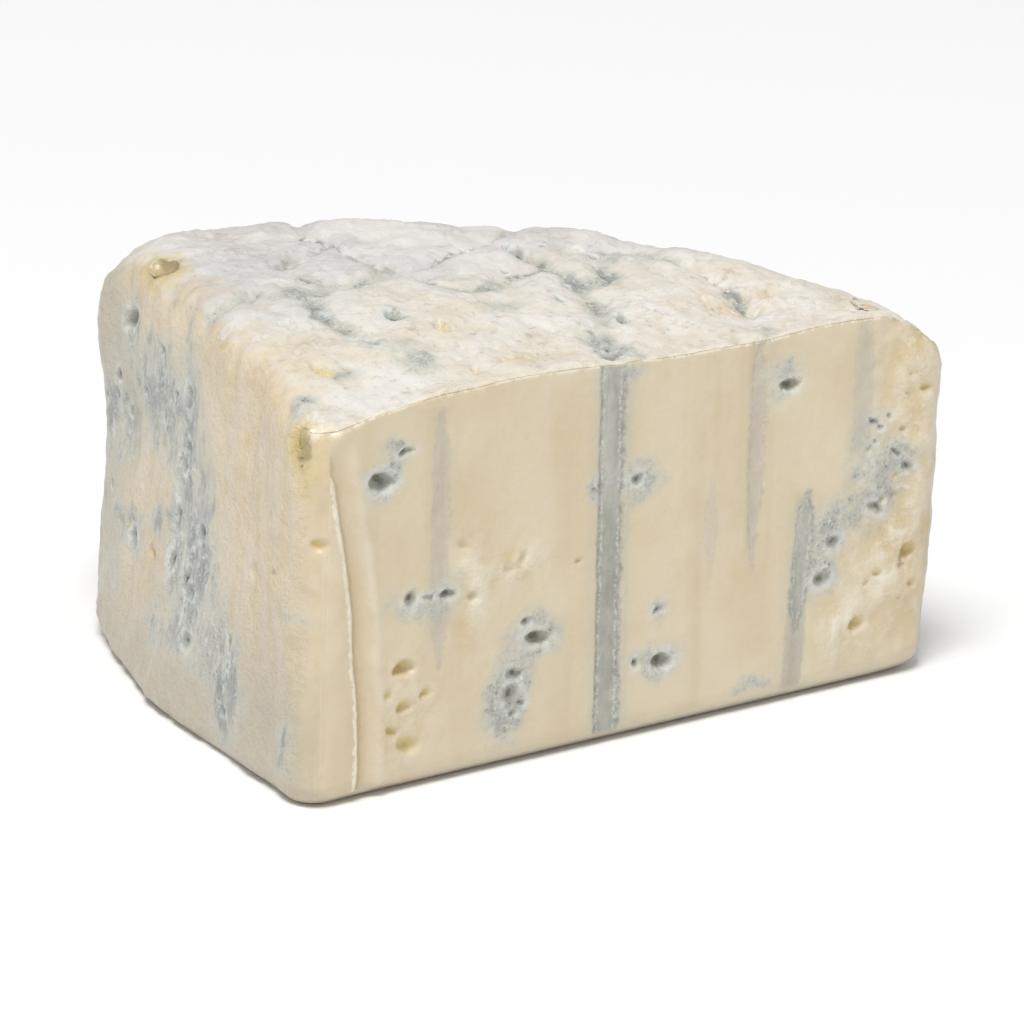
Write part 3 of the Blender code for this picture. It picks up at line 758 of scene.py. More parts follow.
def cloud_sum(where, clouds):
    """1 minus the product of (1 - strength * falloff), so overlapping clouds stay below 1."""
    clear = np.ones(len(where))
    for face, a, b, half_a, half_b, strength in clouds:
        share = reach(where, face, a, b, half_a, half_b, half_out=4)
        clear *= 1 - strength * np.exp(-(share**2) * 0.9)
    return 1 - clear


def grit(amount, size, seed, stretch=(1, 1, 1)):
    """Roughness of so many millimetres over the whole mesh, drawn out where stretch is small."""
    return amount * MM * rough(base * stretch, size, seed)


base = coordinates(mesh)
warped = base + 1.3 * MM * np.stack([rough(base, 6, 120 + k) for k in range(3)], axis=1)
facing = np.empty(len(base) * 3)
mesh.vertices.foreach_get("normal", facing)
facing = facing.reshape(-1, 3)
print("roughness spans", np.round(np.ptp(rough(base, 3, 1)), 2))

# %% [markdown]
# ## Which part of the cheese a point belongs to
# The rind covers what faces up or backwards, and the paste shows on the two cuts and underneath.
# The weights come from the way each point faces, so they run smoothly round the worn corners.
# Along the clean cut the rind ends in a sharp line. Over the rough cut it ends in torn patches.

# %% Weights of the faces
flat = facing[:, :2]
away = base[:, :2] - RIM_CENTRE
inward = RIM_RADIUS - np.linalg.norm(away, axis=1)
up = facing[:, 2]
on_right = smoothstep(-facing[:, 1], 0.80, 0.97) * (base[:, 1] < 3 * MM)
along_left = base[:, :2] @ LEFT_ALONG
on_left = smoothstep(flat @ LEFT_OUT, 0.55, 0.9) * (1 - smoothstep(along_left, 98 * MM, 106 * MM))
on_top = smoothstep(up, 0.35, 0.75)
on_rim = smoothstep((flat * away).sum(axis=1) / np.linalg.norm(away, axis=1), 0.5, 0.85)
on_rim *= 1 - smoothstep(inward, 4 * MM, 9 * MM)
under = smoothstep(-up, 0.3, 0.8)

sharp_rind = smoothstep(up, 0.45, 0.62)
inside_left = -base[:, :2] @ LEFT_OUT
from_left = inside_left + grit(5, 12, 201) + grit(2.5, 2.6, 202)
torn_rind = 0.46 + 0.54 * smoothstep(from_left, 1 * MM, 15 * MM)
torn_rind *= smoothstep(up + 0.2 * lumps(base, 3, 204), 0.30, 0.75)
rind = sharp_rind + (torn_rind - sharp_rind) * smoothstep(base[:, 1], 2 * MM, 7 * MM)
beside_cuts = np.minimum(inside_left, base[:, 1])
thickness = 2.5 * MM + 7 * MM * smoothstep(beside_cuts, 2 * MM, 10 * MM)
rind_end = inward + grit(1.2, 4, 203)
rind = np.maximum(rind, smoothstep(rind_end - thickness, 1 * MM, -1 * MM) * (1 - under))
top_edge = bell(up - 0.5, 0.28) * smoothstep(base[:, 1], 4 * MM, 2 * MM) * (base[:, 0] < 128 * MM)
print("points on each face:", [int(w.sum()) for w in (on_right, on_left, on_top, on_rim, under)])

# %% [markdown]
# ## Relief of the two cuts
# The wire entered the clean cut beside the front corner. It dragged a thin burr, then a valley,
# then a low ridge, and left the rest flat but for faint streaks. The needles left shallow tracks
# with crumbly edges. The rough cut was pulled apart, so its curd is lumpy and drawn out upright.

# %% Relief of the cuts
BURR_HEIGHT, BURR_WIDTH = 0.40 * MM, 0.40 * MM
VALLEY_DEPTH, VALLEY_OFFSET, VALLEY_WIDTH = 0.9 * MM, 2.2 * MM, 1.7 * MM
RIDGE_HEIGHT, RIDGE_OFFSET, RIDGE_WIDTH = 0.5 * MM, 5.2 * MM, 1.2 * MM
TRACK_DEPTH = 0.35 * MM

wobble = rough(base * (1, 1, 0.7), 7, 21) * 0.35 * MM
wire = wire_offset(base[:, 0], base[:, 2]) + wobble
low_end = smoothstep(base[:, 2], 66 * MM, 60 * MM)
crumble = lumps(base, 1.3, 5)
right = BURR_HEIGHT * (1 + 0.6 * crumble) * bell(wire, BURR_WIDTH)
right -= VALLEY_DEPTH * bell(wire - VALLEY_OFFSET, VALLEY_WIDTH)
right += RIDGE_HEIGHT * bell(wire - RIDGE_OFFSET, RIDGE_WIDTH)
right *= low_end
before_wire = smoothstep(wire, 0, -1.5 * MM)
right += before_wire * grit(0.30, 5, 31, (1, 1, 0.6))
for place, half_width, high, low in TRACKS:
    drift = 0.25 * MM * rough(base * (0, 0, 1), 7, 40 + int(place))
    gap = np.abs(base[:, 0] - place * MM + drift)
    across = smoothstep(gap, (half_width + 0.3) * MM, (half_width - 0.3) * MM)
    ends = smoothstep(base[:, 2], low * MM, (low + 4) * MM)
    ends *= smoothstep(base[:, 2], high * MM, (high - 2) * MM)
    lip = bell(gap - (half_width + 0.3) * MM, 0.4 * MM) * ends
    right += 0.12 * MM * lip * (1 + crumble)
    right -= TRACK_DEPTH * across * ends * (1 + 0.4 * rough(base, 2.2, 51))
streaks = lumps(base * (1, 1, 0.06), 4.5, 61)
right += 0.06 * MM * streaks + grit(0.08, 11, 62)
dents = cloud_sum(warped, DENTS)
crumbs = rough(base * (1.3, 1, 0.8), 4.6, 65)
right += dents * MM * (0.62 * crumbs + 0.14 * rough(base, 1.6, 66))
end_crumb = smoothstep(base[:, 0] + 4 * MM * lumps(base, 9, 64), 108 * MM, 122 * MM)
right += end_crumb * grit(0.30, 3.4, 63)

left = grit(0.45, 9, 71, (1, 1, 0.7)) + grit(0.42, 2.6, 72, (1, 1, 0.4))
print("relief of the clean cut in mm:", np.round([right.min() / MM, right.max() / MM], 2))

# %% [markdown]
# ## Relief of the top and the rim
# A draining mat pressed a net of grooves into the top, and the rind between them puffed up into
# pillows. Small cracks and pinholes follow. The rim is drier, with low lumps and fine wrinkles.

# %% Relief of the top, the rim and the underside
net = np.min([run_distance(base[:, 0], base[:, 1], run) for run in NET], axis=0)
net_jagged = np.abs(net + grit(1.0, 5, 81))
crease = bell(net_jagged, 0.8 * MM) * smoothstep(lumps(base, 7, 86), -0.5, 0.3)
top = grit(0.55, 8, 82) + grit(0.28, 2.6, 83)
top -= 0.65 * MM * crease
vein = np.abs(rough(base * (0.8, 1.2, 1), 12, 84))
top -= 0.30 * MM * smoothstep(vein, 0.08, 0.0)
flakes = bell(base[:, 1], 12 * MM) + bell(base[:, 0], 16 * MM)
top += flakes * grit(0.28, 3.2, 85, (0.6, 1, 1))

rim = grit(0.40, 9, 91) + grit(0.22, 2.6, 92, (1, 1, 1.6))
# The hoop of cloth round the wheel left long level lines
rim += 0.12 * MM * lumps(base * (0.25, 0.25, 1), 1.8, 95)
rim += 0.10 * MM * lumps(base * (0.2, 0.2, 1), 4.5, 96)
relief = on_right * right + on_left * left + on_top * top + on_rim * rim
rest = np.clip(1 - on_right - on_left - on_top - on_rim - under, 0, 1)
relief += rest * grit(0.26, 4, 94)
relief += top_edge * 0.14 * MM * (0.6 + crumble)
lifted = base + facing * relief[:, None]
lifted[:, 2] = np.maximum(lifted[:, 2], 0)
# The top edge of the clean cut stays in the cut's plane, or its lip would throw a dark line
at_edge = (base[:, 1] < 1 * MM) & (up > 0.35) & (base[:, 0] > 4 * MM) & (base[:, 0] < 126 * MM)
lifted[at_edge, 1] = np.maximum(lifted[at_edge, 1], base[at_edge, 1] - 0.03 * MM)
print("relief in mm:", np.round([relief.min() / MM, relief.max() / MM], 2))

# %% [markdown]
# ## Hollow out the eyes
# An eye is a bubble that the cut opened. A Boolean would leave ragged faces at its rim. Instead,
# the points near a bubble sink along the face's normal by a bowl-shaped curve. Blue eyes have a
# crisp rim, golden ones a worn rim and pale ones are mere dimples. The mesh stays closed and even.

# %% Sink the points over each eye
BOWL_CURVES = {"blue": (0.95, 1.0), "gold": (0.95, 1.2), "pale": (0.90, 2.0)}


def hollow(where, centre, rows, sizes, kind):
    """Sink by depth * k * (1 - share^2)^p inside an ellipse; return the shares as well."""
    local = (where - centre) @ rows.T / sizes
    share = np.linalg.norm(local * (1, 1, 0.6), axis=1)
    strength, power = BOWL_CURVES[kind]
    bowl = strength * np.clip(1 - share**2, 0, 1) ** power
    return where - (bowl * sizes[2])[:, None] * rows[2], share


depths = {kind: np.zeros(len(base)) for kind in BOWL_CURVES}
eye_ring = np.zeros(len(base))
shaped = lifted.copy()
ragged = lifted + 0.35 * MM * np.stack([rough(base, 1.8, 100 + k) for k in range(3)], axis=1)
for face, a, b, half_a, half_b, depth, degrees, kind in ALL_EYES:
    rows = turned_frame(face, degrees)
    sizes = np.array((half_a * BOWL[kind], half_b * BOWL[kind], depth)) * MM
    moved, share = hollow(ragged, spot(face, a, b), rows, sizes, kind)
    shaped += moved - ragged
    depths[kind] = np.maximum(depths[kind], 1 - share)
    if kind == "blue":
        eye_ring = np.maximum(eye_ring, smoothstep(share, 1.9, 1.05) * smoothstep(share, 0.6, 0.95))

# The hollow at the front corner and the fold at the left of the top: middle and half sizes
HOLLOWS = np.array((((0.5, 2.2, 65.4), (2.0, 3.0, 5.8)), ((18.5, 75.0, 73.0), (2.4, 4.0, 2.6)))) * MM
golden, hollow_shadow = np.zeros(len(base)), np.zeros(len(base))
for centre, sizes in HOLLOWS:
    local = (ragged - centre) / sizes
    share = np.linalg.norm(local, axis=1)
    inside = share < 1
    shaped[inside] = centre + local[inside] / share[inside, None] * sizes
    golden = np.maximum(golden, smoothstep(share, 3.1, 0.9))
    # Painted shadow on the walls of each hollow to the camera's right, as if under its lip
    to_right = 0.83 * local[:, 0] - 0.56 * local[:, 1] - 0.3 * local[:, 2]
    hollow_shadow = np.maximum(hollow_shadow, smoothstep(share, 1.35, 0.7) * smoothstep(to_right, -0.6, 0.4))
print("points in eyes:", int(sum((h > 0.1).sum() for h in depths.values())))

# %% [markdown]
# ## Tell the material where things are
# The mesh carries what it knows as named attributes, one number for each point. The material
# reads them, adds fine noise and turns them into colour. This keeps every stain fixed to its
# place on the cheese, from any side and in any export.

# %% Store masks on the mesh


def near_net(reach_mm, size, seed, full):
    """1 on the net's lines, fading out at some distance, and missing in places."""
    fade = smoothstep(net_jagged, reach_mm * MM, 0.2 * MM)
    return fade * on_top * smoothstep(lumps(base, size, seed), -0.7, full)


in_wire_reach = on_right * low_end
# Painted shade in the valley beside the wire's burr
groove = smoothstep(wire, 0.2 * MM, 0.9 * MM) * smoothstep(wire, 3.6 * MM, 1.8 * MM)
# Painted shade over the front part of the clean cut
far_from_light = smoothstep(base[:, 0], 55 * MM, 10 * MM) * smoothstep(base[:, 1], 12 * MM, 2 * MM)
# Painted light on the heights of the crumbs of the clean cut
bright_crumbs = 0.9 * dents * on_right * smoothstep(crumbs, 0.0, 0.6)
# Painted highlight on the wire's low ridge
bright_ridge = 0.8 * in_wire_reach * bell(wire - RIDGE_OFFSET, RIDGE_WIDTH)
pink_ground = np.maximum(0.65 * on_left, 0.8 * on_top * (base[:, 1] > 3 * MM))
# Painted shade towards the foot, and a darker grey tint towards the far end of the rough cut
painted_foot_shade = smoothstep(base[:, 2] + grit(8, 14, 90), 36 * MM, 2 * MM) * (1 - 0.8 * on_right)
darker_far_end = smoothstep(along_left + grit(8, 14, 97), 72 * MM, 98 * MM) * on_left
masks = {
    "mould": cloud_sum(warped, MOULD),
    "warm": cloud_sum(warped, WARM),
    "pink": np.maximum(cloud_sum(warped, PINK), pink_ground),
    # Milky patches of the paste, plus painted light on the crumbs' heights and the wire's ridge
    "milky": np.maximum(cloud_sum(warped, MILKY) + bright_crumbs, bright_ridge),
    "net": near_net(2.8, 9, 87, 0.5),
    "crease": near_net(1.0, 6, 89, 0.3),
    "deep_blue": depths["blue"], "deep_gold": depths["gold"], "deep_pale": depths["pale"],
    "eye_ring": eye_ring, "golden": golden, "hollow_shadow": hollow_shadow,
    "clean_cut": on_right, "rough_cut": on_left, "rind": rind, "rim": on_rim,
    "back": smoothstep(base[:, 1] + 6 * MM * lumps(base, 16, 88), 22 * MM, 62 * MM),
    # The clean cut's top edge: a yellowish bead line, with painted highlights on its beads
    "crisp": top_edge,
    "wire": np.where(in_wire_reach > 0.3, np.clip(wire / MM, -8, 8), 8),
    # Painted shade: the wire's valley and the front part of the clean cut
    "shaded": np.maximum(in_wire_reach * groove, 0.45 * far_from_light),
    "crumbly": dents * on_right,
    # Crevices between the crumbs: a honey tint, partly painted shade
    "crevice": dents * on_right * smoothstep(-crumbs, 0.05, 0.7),
    "foot_shade_and_far_end": np.maximum(painted_foot_shade, darker_far_end),
}
mesh.vertices.foreach_set("co", (shaped + FRONT_CORNER).ravel())
for name, values in masks.items():
    layer = mesh.attributes.new(name, "FLOAT", "POINT")
    layer.data.foreach_set("value", values.astype(np.float32))
mesh.shade_smooth()
mesh.update()
print("masks:", ", ".join(masks))

# %% [markdown]
# ## Small helpers for shader nodes
# A material with many layers needs many nodes. Each helper adds one node, feeds it with numbers
# or with other nodes' outputs, and gives back its output, so that the layers read as sentences.
# A socket knows which node tree it is in, so most helpers need not be told.

# %% Helpers that add one node each
FINEST_GRAIN = 0.25 * MM
FLOAT, COLOUR, VECTOR = "NodeSocketFloat", "NodeSocketColor", "NodeSocketVector"


def put(tree, kind, inputs=(), **settings):
    """Add a node, set its properties, and fill its inputs with values or links."""
    node = tree.nodes.new(kind)
    for name, value in settings.items():
        setattr(node, name, value)
    for key, value in dict(inputs).items():
        if isinstance(value, bpy.types.NodeSocket):
            tree.links.new(value, node.inputs[key])
        else:
            node.inputs[key].default_value = value
    return node


def maths(operation, *terms):
    """One step of arithmetic, in the tree of its first socket."""
    tree = next(term.id_data for term in terms if isinstance(term, bpy.types.NodeSocket))
    return put(tree, "ShaderNodeMath", dict(enumerate(terms)), operation=operation).outputs[0]


def times(*factors):
    """All factors multiplied, one after the other."""
    return functools.reduce(functools.partial(maths, "MULTIPLY"), factors)


def plus(value, factor, more):
    """value * factor + more."""
    return maths("MULTIPLY_ADD", value, factor, more)


def spread(value, low, high, start=0.0, end=1.0):
    """A smooth climb from start to end while the value goes from low to high."""
    inputs = {"Value": value, "From Min": low, "From Max": high, "To Min": start, "To Max": end}
    return put(value.id_data, "ShaderNodeMapRange", inputs, interpolation_type="SMOOTHSTEP").outputs[0]


def blend(share, under, over):
    """Two numbers mixed by a share from 0 to 1."""
    return put(share.id_data, "ShaderNodeMix", {0: share, 2: under, 3: over}).outputs[0]


def layered(colour, *layers):
    """Colours laid over a ground one after another, each by its share from 0 to 1."""
    for share, over in layers:
        inputs = {0: share, 6: colour, 7: over}
        colour = put(share.id_data, "ShaderNodeMix", inputs, data_type="RGBA").outputs[2]
    return colour


def stretched(place, share):
    """Places squeezed in height, so that a pattern on them comes out drawn upright."""
    return put(place.id_data, "ShaderNodeMapping", {"Vector": place, "Scale": (1, 1, share)}).outputs[0]


def grain(place, scale, detail=3, roughness=0.55):
    """Noise from 0 to 1 with that many lumps to the metre, and no finer detail than can be seen."""
    detail = max(1.0, min(detail, math.log2(1 / (scale * FINEST_GRAIN))))
    inputs = {"Vector": place, "Scale": scale, "Detail": detail, "Roughness": roughness}
    return put(place.id_data, "ShaderNodeTexNoise", inputs).outputs["Fac"]


def swing(place, scale, detail, roughness):
    """The same noise from -0.5 to 0.5."""
    return maths("SUBTRACT", grain(place, scale, detail, roughness), 0.5)


def patches(place, scale, detail, roughness, low, high, start=0.0, end=1.0):
    """Noise with its middle range spread out, which gives patches with soft edges."""
    return spread(grain(place, scale, detail, roughness), low, high, start, end)


def group(name, inputs, outputs, kind):
    """A new node group with named sockets, and its two end nodes."""
    tree = bpy.data.node_groups.new(name, "ShaderNodeTree")
    for label, socket_kind, value in inputs:
        socket = tree.interface.new_socket(label, in_out="INPUT", socket_type=socket_kind)
        if value is not None:
            socket.default_value = value
    for label in outputs:
        tree.interface.new_socket(label, in_out="OUTPUT", socket_type=kind)
    return tree, tree.nodes.new("NodeGroupInput").outputs, tree.nodes.new("NodeGroupOutput").inputs


print("helpers ready")

# %% [markdown]
# ## A needle track
# Rods are pushed through the young cheese so that air reaches the mould. Where the cut meets such
# a hole, it shows as an upright band with crumbly dark edges and a blue haze beside it. The band
# repeats in several places with its own width and length, so it is a node group.

# %% The needle track as a node group
TRACK_WANDER = 2.2 * MM


def needle_track_group():
    """Distance from the band's middle line gives its inside, its edges and its haze."""
    tree, given, out = group(
        "needle track",
        (("Place", VECTOR, None), ("Middle", FLOAT, 0.0), ("Half Width", FLOAT, 2.5 * MM),
         ("Top", FLOAT, 70 * MM), ("Foot", FLOAT, 0.0), ("Taper", FLOAT, 4 * MM), ("Lean", FLOAT, 0.0)),
        ("Inside", "Edge", "Glint", "Haze"), FLOAT)
    place = given["Place"]
    axes = put(tree, "ShaderNodeSeparateXYZ", {0: place}).outputs
    x = plus(swing(place, 330, 4, 0.7), TRACK_WANDER, axes["X"])
    middle = plus(given["Lean"], axes["Z"], given["Middle"])
    above = maths("SUBTRACT", axes["Z"], given["Foot"])
    nearest = maths("MINIMUM", above, maths("SUBTRACT", given["Top"], axes["Z"]))
    pinch = spread(maths("DIVIDE", nearest, given["Taper"]), 0.0, 1.0, 0.15, 1.0)
    gap = maths("ABSOLUTE", maths("SUBTRACT", x, middle))
    past = maths("SUBTRACT", gap, times(given["Half Width"], pinch))
    ends = spread(nearest, -0.6 * MM, 1.2 * MM)
    line = spread(maths("ABSOLUTE", past), 0.62 * MM, 0.04 * MM)
    inner = spread(maths("ABSOLUTE", maths("ADD", past, 0.55 * MM)), 0.50 * MM, 0.05 * MM)
    haze = times(spread(past, 4.2 * MM, -0.6 * MM), spread(nearest, -3 * MM, 3 * MM))
    results = {
        "Inside": times(spread(past, 0.8 * MM, -0.9 * MM), ends),
        "Edge": times(line, patches(place, 900, 3, 0.6, 0.40, 0.62), ends),
        "Glint": times(inner, patches(place, 1500, 2, 0.6, 0.42, 0.60), ends),
        "Haze": maths("POWER", haze, 1.6),
    }
    for label, value in results.items():
        tree.links.new(value, out[label])
    return tree


needle_track = needle_track_group()
print("needle track group:", len(needle_track.nodes), "nodes")

# %% [markdown]
# ## Mould on any ground
# Mould is a pale blue-grey haze where it is young, darker in the middle of a cloud, and almost
# black in specks. The same look covers the paste and the rind, so the group takes the colour of
# the ground and how much mould there is, and gives the stained colour back. On the rough cut the
# clouds are drawn out upright, which the input Fibre asks for.

# %% Mould as a node group
HAZE_GREEN, MOULD_LIGHT = (0.600, 0.595, 0.500, 1), (0.510, 0.515, 0.465, 1)
MOULD_BODY, MOULD_DARK = (0.350, 0.360, 0.338, 1), (0.150, 0.160, 0.145, 1)
MOULD_PALE = (0.700, 0.728, 0.705, 1)
FIBRE_STRETCH = 0.42


def mould_group():
    """The amount, pushed up and down by noise of several sizes, picks haze, body and specks."""
    tree, given, out = group(
        "mould",
        (("Ground", COLOUR, None), ("Place", VECTOR, None),
         ("Amount", FLOAT, 0.0), ("Fibre", FLOAT, 0.0)),
        ("Colour",), COLOUR)
    place, amount, fibre = given["Place"], given["Amount"], given["Fibre"]
    drawn = stretched(place, FIBRE_STRETCH)
    broad, fine = (
        blend(fibre, swing(place, scale, 4, ragged), swing(drawn, scale, 4, ragged))
        for scale, ragged in ((260, 0.62), (950, 0.65)))
    sway = times(plus(broad, 2.2, fine), plus(fibre, 0.35, 1.0))
    level = plus(sway, spread(amount, 0.03, 0.35), times(amount, 1.05))
    hazy = times(spread(plus(broad, 0.6, amount), 0.0, 0.6, 0.0, 0.9), spread(amount, 0.0, 0.1))
    bloom = times(patches(place, 800, 3, 0.6, 0.54, 0.68), spread(amount, 0.30, 0.75), 0.65)
    specks = times(patches(place, 1900, 3, 0.6, 0.60, 0.70), spread(level, 0.45, 0.95), 0.7)
    colour = layered(
        given["Ground"],
        (hazy, HAZE_GREEN),
        (spread(level, 0.15, 0.75, 0.0, 0.85), MOULD_LIGHT),
        (spread(level, 0.50, 1.15, 0.0, 0.85), MOULD_BODY),
        (bloom, MOULD_PALE),
        (spread(level, 1.10, 1.70, 0.0, 0.6), MOULD_DARK),
        (specks, MOULD_DARK))
    tree.links.new(colour, out["Colour"])
    return tree


mould_nodes = mould_group()
print("mould group:", len(mould_nodes.nodes), "nodes")

# %% [markdown]
# ## The rind
# The rind of a washed wheel is dry and patchy: chalk white where it is bare, cream where paste
# shines through, grey and lilac where the flora is old, with thin tan veins. It covers the top
# and, with more grey and tan, the whole back, so it is a group too.

# %% The rind as a node group
RIND_WHITE, RIND_CREAM = (0.800, 0.765, 0.715, 1), (0.740, 0.670, 0.545, 1)
RIND_GREY, RIND_LILAC = (0.640, 0.620, 0.605, 1), (0.530, 0.505, 0.505, 1)
RIND_TAN, RIND_BLUE = (0.500, 0.385, 0.270, 1), (0.370, 0.390, 0.370, 1)
RIM_GREY, RIM_TAN = (0.500, 0.478, 0.455, 1), (0.560, 0.445, 0.335, 1)


def rind_group():
    """White and cream patches, then grey by age, veins, the rim's own colours, and flecks."""
    tree, given, out = group(
        "rind",
        (("Place", VECTOR, None), ("Age", FLOAT, 0.0), ("Rim", FLOAT, 0.0)),
        ("Colour",), COLOUR)
    place, age, rim = given["Place"], given["Age"], given["Rim"]
    thin_ridge = spread(maths("ABSOLUTE", swing(place, 95, 5, 0.6)), 0.03, 0.0)
    vein = times(thin_ridge, patches(place, 60, 3, 0.55, 0.45, 0.6), 0.25)
    tan = times(patches(place, 130, 5, 0.7, 0.54, 0.72), 0.5)
    wheel = layered(
        RIM_GREY,
        (patches(place, 70, 5, 0.66, 0.34, 0.66), RIM_TAN),
        (patches(place, 38, 5, 0.66, 0.44, 0.66, 0.0, 0.75), RIND_CREAM))
    colour = layered(
        RIND_WHITE,
        (patches(place, 75, 5, 0.62, 0.40, 0.60), RIND_CREAM),
        (spread(plus(grain(place, 110, 5, 0.65), 1.6, age), 0.75, 1.65, 0.0, 0.95), RIND_GREY),
        (times(patches(place, 150, 5, 0.68, 0.52, 0.66), age, 0.7), RIND_LILAC),
        (maths("MAXIMUM", tan, vein), RIND_TAN),
        (times(rim, 0.80), wheel),
        (patches(place, 520, 5, 0.7, 0.55, 0.70, 0.0, 0.45), RIND_BLUE),
        (times(patches(place, 62, 6, 0.7, 0.55, 0.68), rim, 0.7), RIND_BLUE),
        (times(patches(place, 48, 5, 0.62, 0.46, 0.62), spread(age, 0.0, 1.0, 0.3, 0.75)), RIND_WHITE),
        (patches(place, 340, 4, 0.65, 0.56, 0.68, 0.0, 0.5), RIND_WHITE))
    tree.links.new(colour, out["Colour"])
    return tree


rind_nodes = rind_group()
print("rind group:", len(rind_nodes.nodes), "nodes")

# %% [markdown]
# ## The paste and the linings of the eyes
# Paste is never one flat cream. The wire left soft upright bands on the clean cut, the torn cut
# is pinker and rougher, and crumbly places are milky on their heights and honey in their depths,
# partly their own tint and partly painted light and painted shade.
# Old eyes are lined with grey-green mould, young ones shine golden. Their darker bottoms are
# partly that lining and partly painted shade, and the pale dimples get a painted tan shade.

# %% Colours of the paste and the eyes
CREAM, CREAM_LIGHT = (0.705, 0.580, 0.388, 1), (0.760, 0.658, 0.480, 1)
CREAM_DEEP, MILK = (0.620, 0.490, 0.288, 1), (0.860, 0.790, 0.640, 1)
PINK_TAN, DARK_GREY_CREAM = (0.735, 0.645, 0.540, 1), (0.520, 0.475, 0.385, 1)
HONEY, BURR_SHADOW_BROWN = (0.660, 0.500, 0.230, 1), (0.420, 0.330, 0.170, 1)
GOLD, GOLD_DEEP = (0.680, 0.535, 0.200, 1), (0.500, 0.370, 0.100, 1)
OLIVE, GREY_BOWL = (0.115, 0.110, 0.062, 1), (0.380, 0.395, 0.360, 1)
DIMPLE_SHADE_TAN, HOLLOW_SHADOW_BROWN = (0.620, 0.490, 0.280, 1), (0.270, 0.210, 0.100, 1)
TAN_DEEP, RING_WHITE = (0.520, 0.405, 0.185, 1), (0.720, 0.745, 0.725, 1)
BAND_STRETCH, TORN_STRETCH = 0.05, 0.22


def paste_colour(place, mask):
    """Cream with soft upright bands, fine grain, pink and milky patches, painted light and shade."""
    clean, torn, crumbly = mask["clean_cut"], mask["rough_cut"], mask["crumbly"]
    upright, fibres = stretched(place, BAND_STRETCH), stretched(place, TORN_STRETCH)
    grains = grain(place, 360, 4, 0.62)
    less_on_clean = spread(clean, 0.0, 1.0, 1.0, 0.25)
    return layered(
        CREAM,
        (patches(place, 55, 3, 0.5, 0.36, 0.64), CREAM_LIGHT),
        (times(patches(upright, 150, 2, 0.5, 0.35, 0.65, 0.0, 0.6), clean), CREAM_LIGHT),
        (times(patches(upright, 95, 3, 0.55, 0.50, 0.72, 0.0, 0.5), clean), CREAM_DEEP),
        (times(patches(place, 420, 4, 0.6, 0.45, 0.75, 0.0, 0.5), less_on_clean), CREAM_DEEP),
        (times(patches(place, 260, 5, 0.75, 0.56, 0.66, 0.0, 0.45), torn), CREAM_DEEP),
        (times(mask["pink"], patches(fibres, 330, 4, 0.62, 0.36, 0.66)), PINK_TAN),
        (times(torn, patches(fibres, 520, 4, 0.65, 0.5, 0.7), 0.5), CREAM_LIGHT),
        # Milky patches, with painted light on the crumbs' heights and the wire's ridge
        (times(mask["milky"], patches(place, 160, 4, 0.6, 0.30, 0.60)), MILK),
        # Honey in the crevices, partly painted shade
        (times(mask["crevice"], 0.75), HONEY),
        (times(spread(grains, 0.47, 0.34), crumbly, 0.65), HONEY),
        (times(spread(grains, 0.52, 0.64), crumbly, 0.75), MILK),
        # Painted shade at the foot, and the darker far end of the rough cut
        (times(mask["foot_shade_and_far_end"], 0.85), DARK_GREY_CREAM),
        # Painted shade in the wire's valley and over the front part of the clean cut
        (times(mask["shaded"], 0.5), CREAM_DEEP))


def eye_layers(place, mask):
    """Each kind of eye gets darker or more golden towards its bottom, partly as painted shade."""
    ragged, lumpy = swing(place, 900, 4, 0.65), swing(place, 330, 4, 0.65)
    pale, gold = (plus(ragged, 0.3, mask[name]) for name in ("deep_pale", "deep_gold"))
    blue = plus(ragged, 0.5, mask["deep_blue"])
    slope, pit = plus(lumpy, 1.8, mask["golden"]), plus(lumpy, 0.9, mask["hollow_shadow"])
    return (
        (times(mask["eye_ring"], patches(place, 620, 3, 0.55, 0.35, 0.60), 0.7), RING_WHITE),
        # Painted shade: the pale dimples turn tan towards their bottom
        (spread(pale, 0.2, 1.0, 0.0, 0.4), DIMPLE_SHADE_TAN),
        # Golden eyes, deeper gold at the bottom, partly painted shade
        (spread(gold, 0.05, 0.60, 0.0, 0.70), GOLD),
        (spread(gold, 0.60, 1.00, 0.0, 0.55), GOLD_DEEP),
        # Blue eyes: grey mould lining, olive at the bottom, partly painted shade
        (spread(blue, 0.02, 0.50, 0.0, 0.85), GREY_BOWL),
        (spread(blue, 0.52, 0.80, 0.0, 0.85), OLIVE),
        # The golden lining of the two hollows; its deep tan inside is partly painted shade
        (spread(slope, 0.10, 1.1, 0.0, 0.50), GOLD),
        (spread(slope, 0.70, 1.4, 0.0, 0.55), TAN_DEEP),
        # Painted shadow on the hollows' walls to the camera's right
        (spread(pit, 0.30, 1.0, 0.0, 0.60), HOLLOW_SHADOW_BROWN))


print("paste and eyes ready")

# %% [markdown]
# ## Needle tracks on the clean cut
# Some tracks were cut open along their whole length and are blue inside. Others lie just under
# the surface and only show as a lilac shadow. One table gives both, and the group does the rest.

# %% Lay the needle tracks
TRACK_GREY, TRACK_LIGHT = (0.258, 0.270, 0.256, 1), (0.385, 0.398, 0.376, 1)
TRACK_EDGE, TRACK_HAZE = (0.180, 0.190, 0.170, 1), (0.560, 0.555, 0.450, 1)
LILAC = (0.590, 0.510, 0.450, 1)
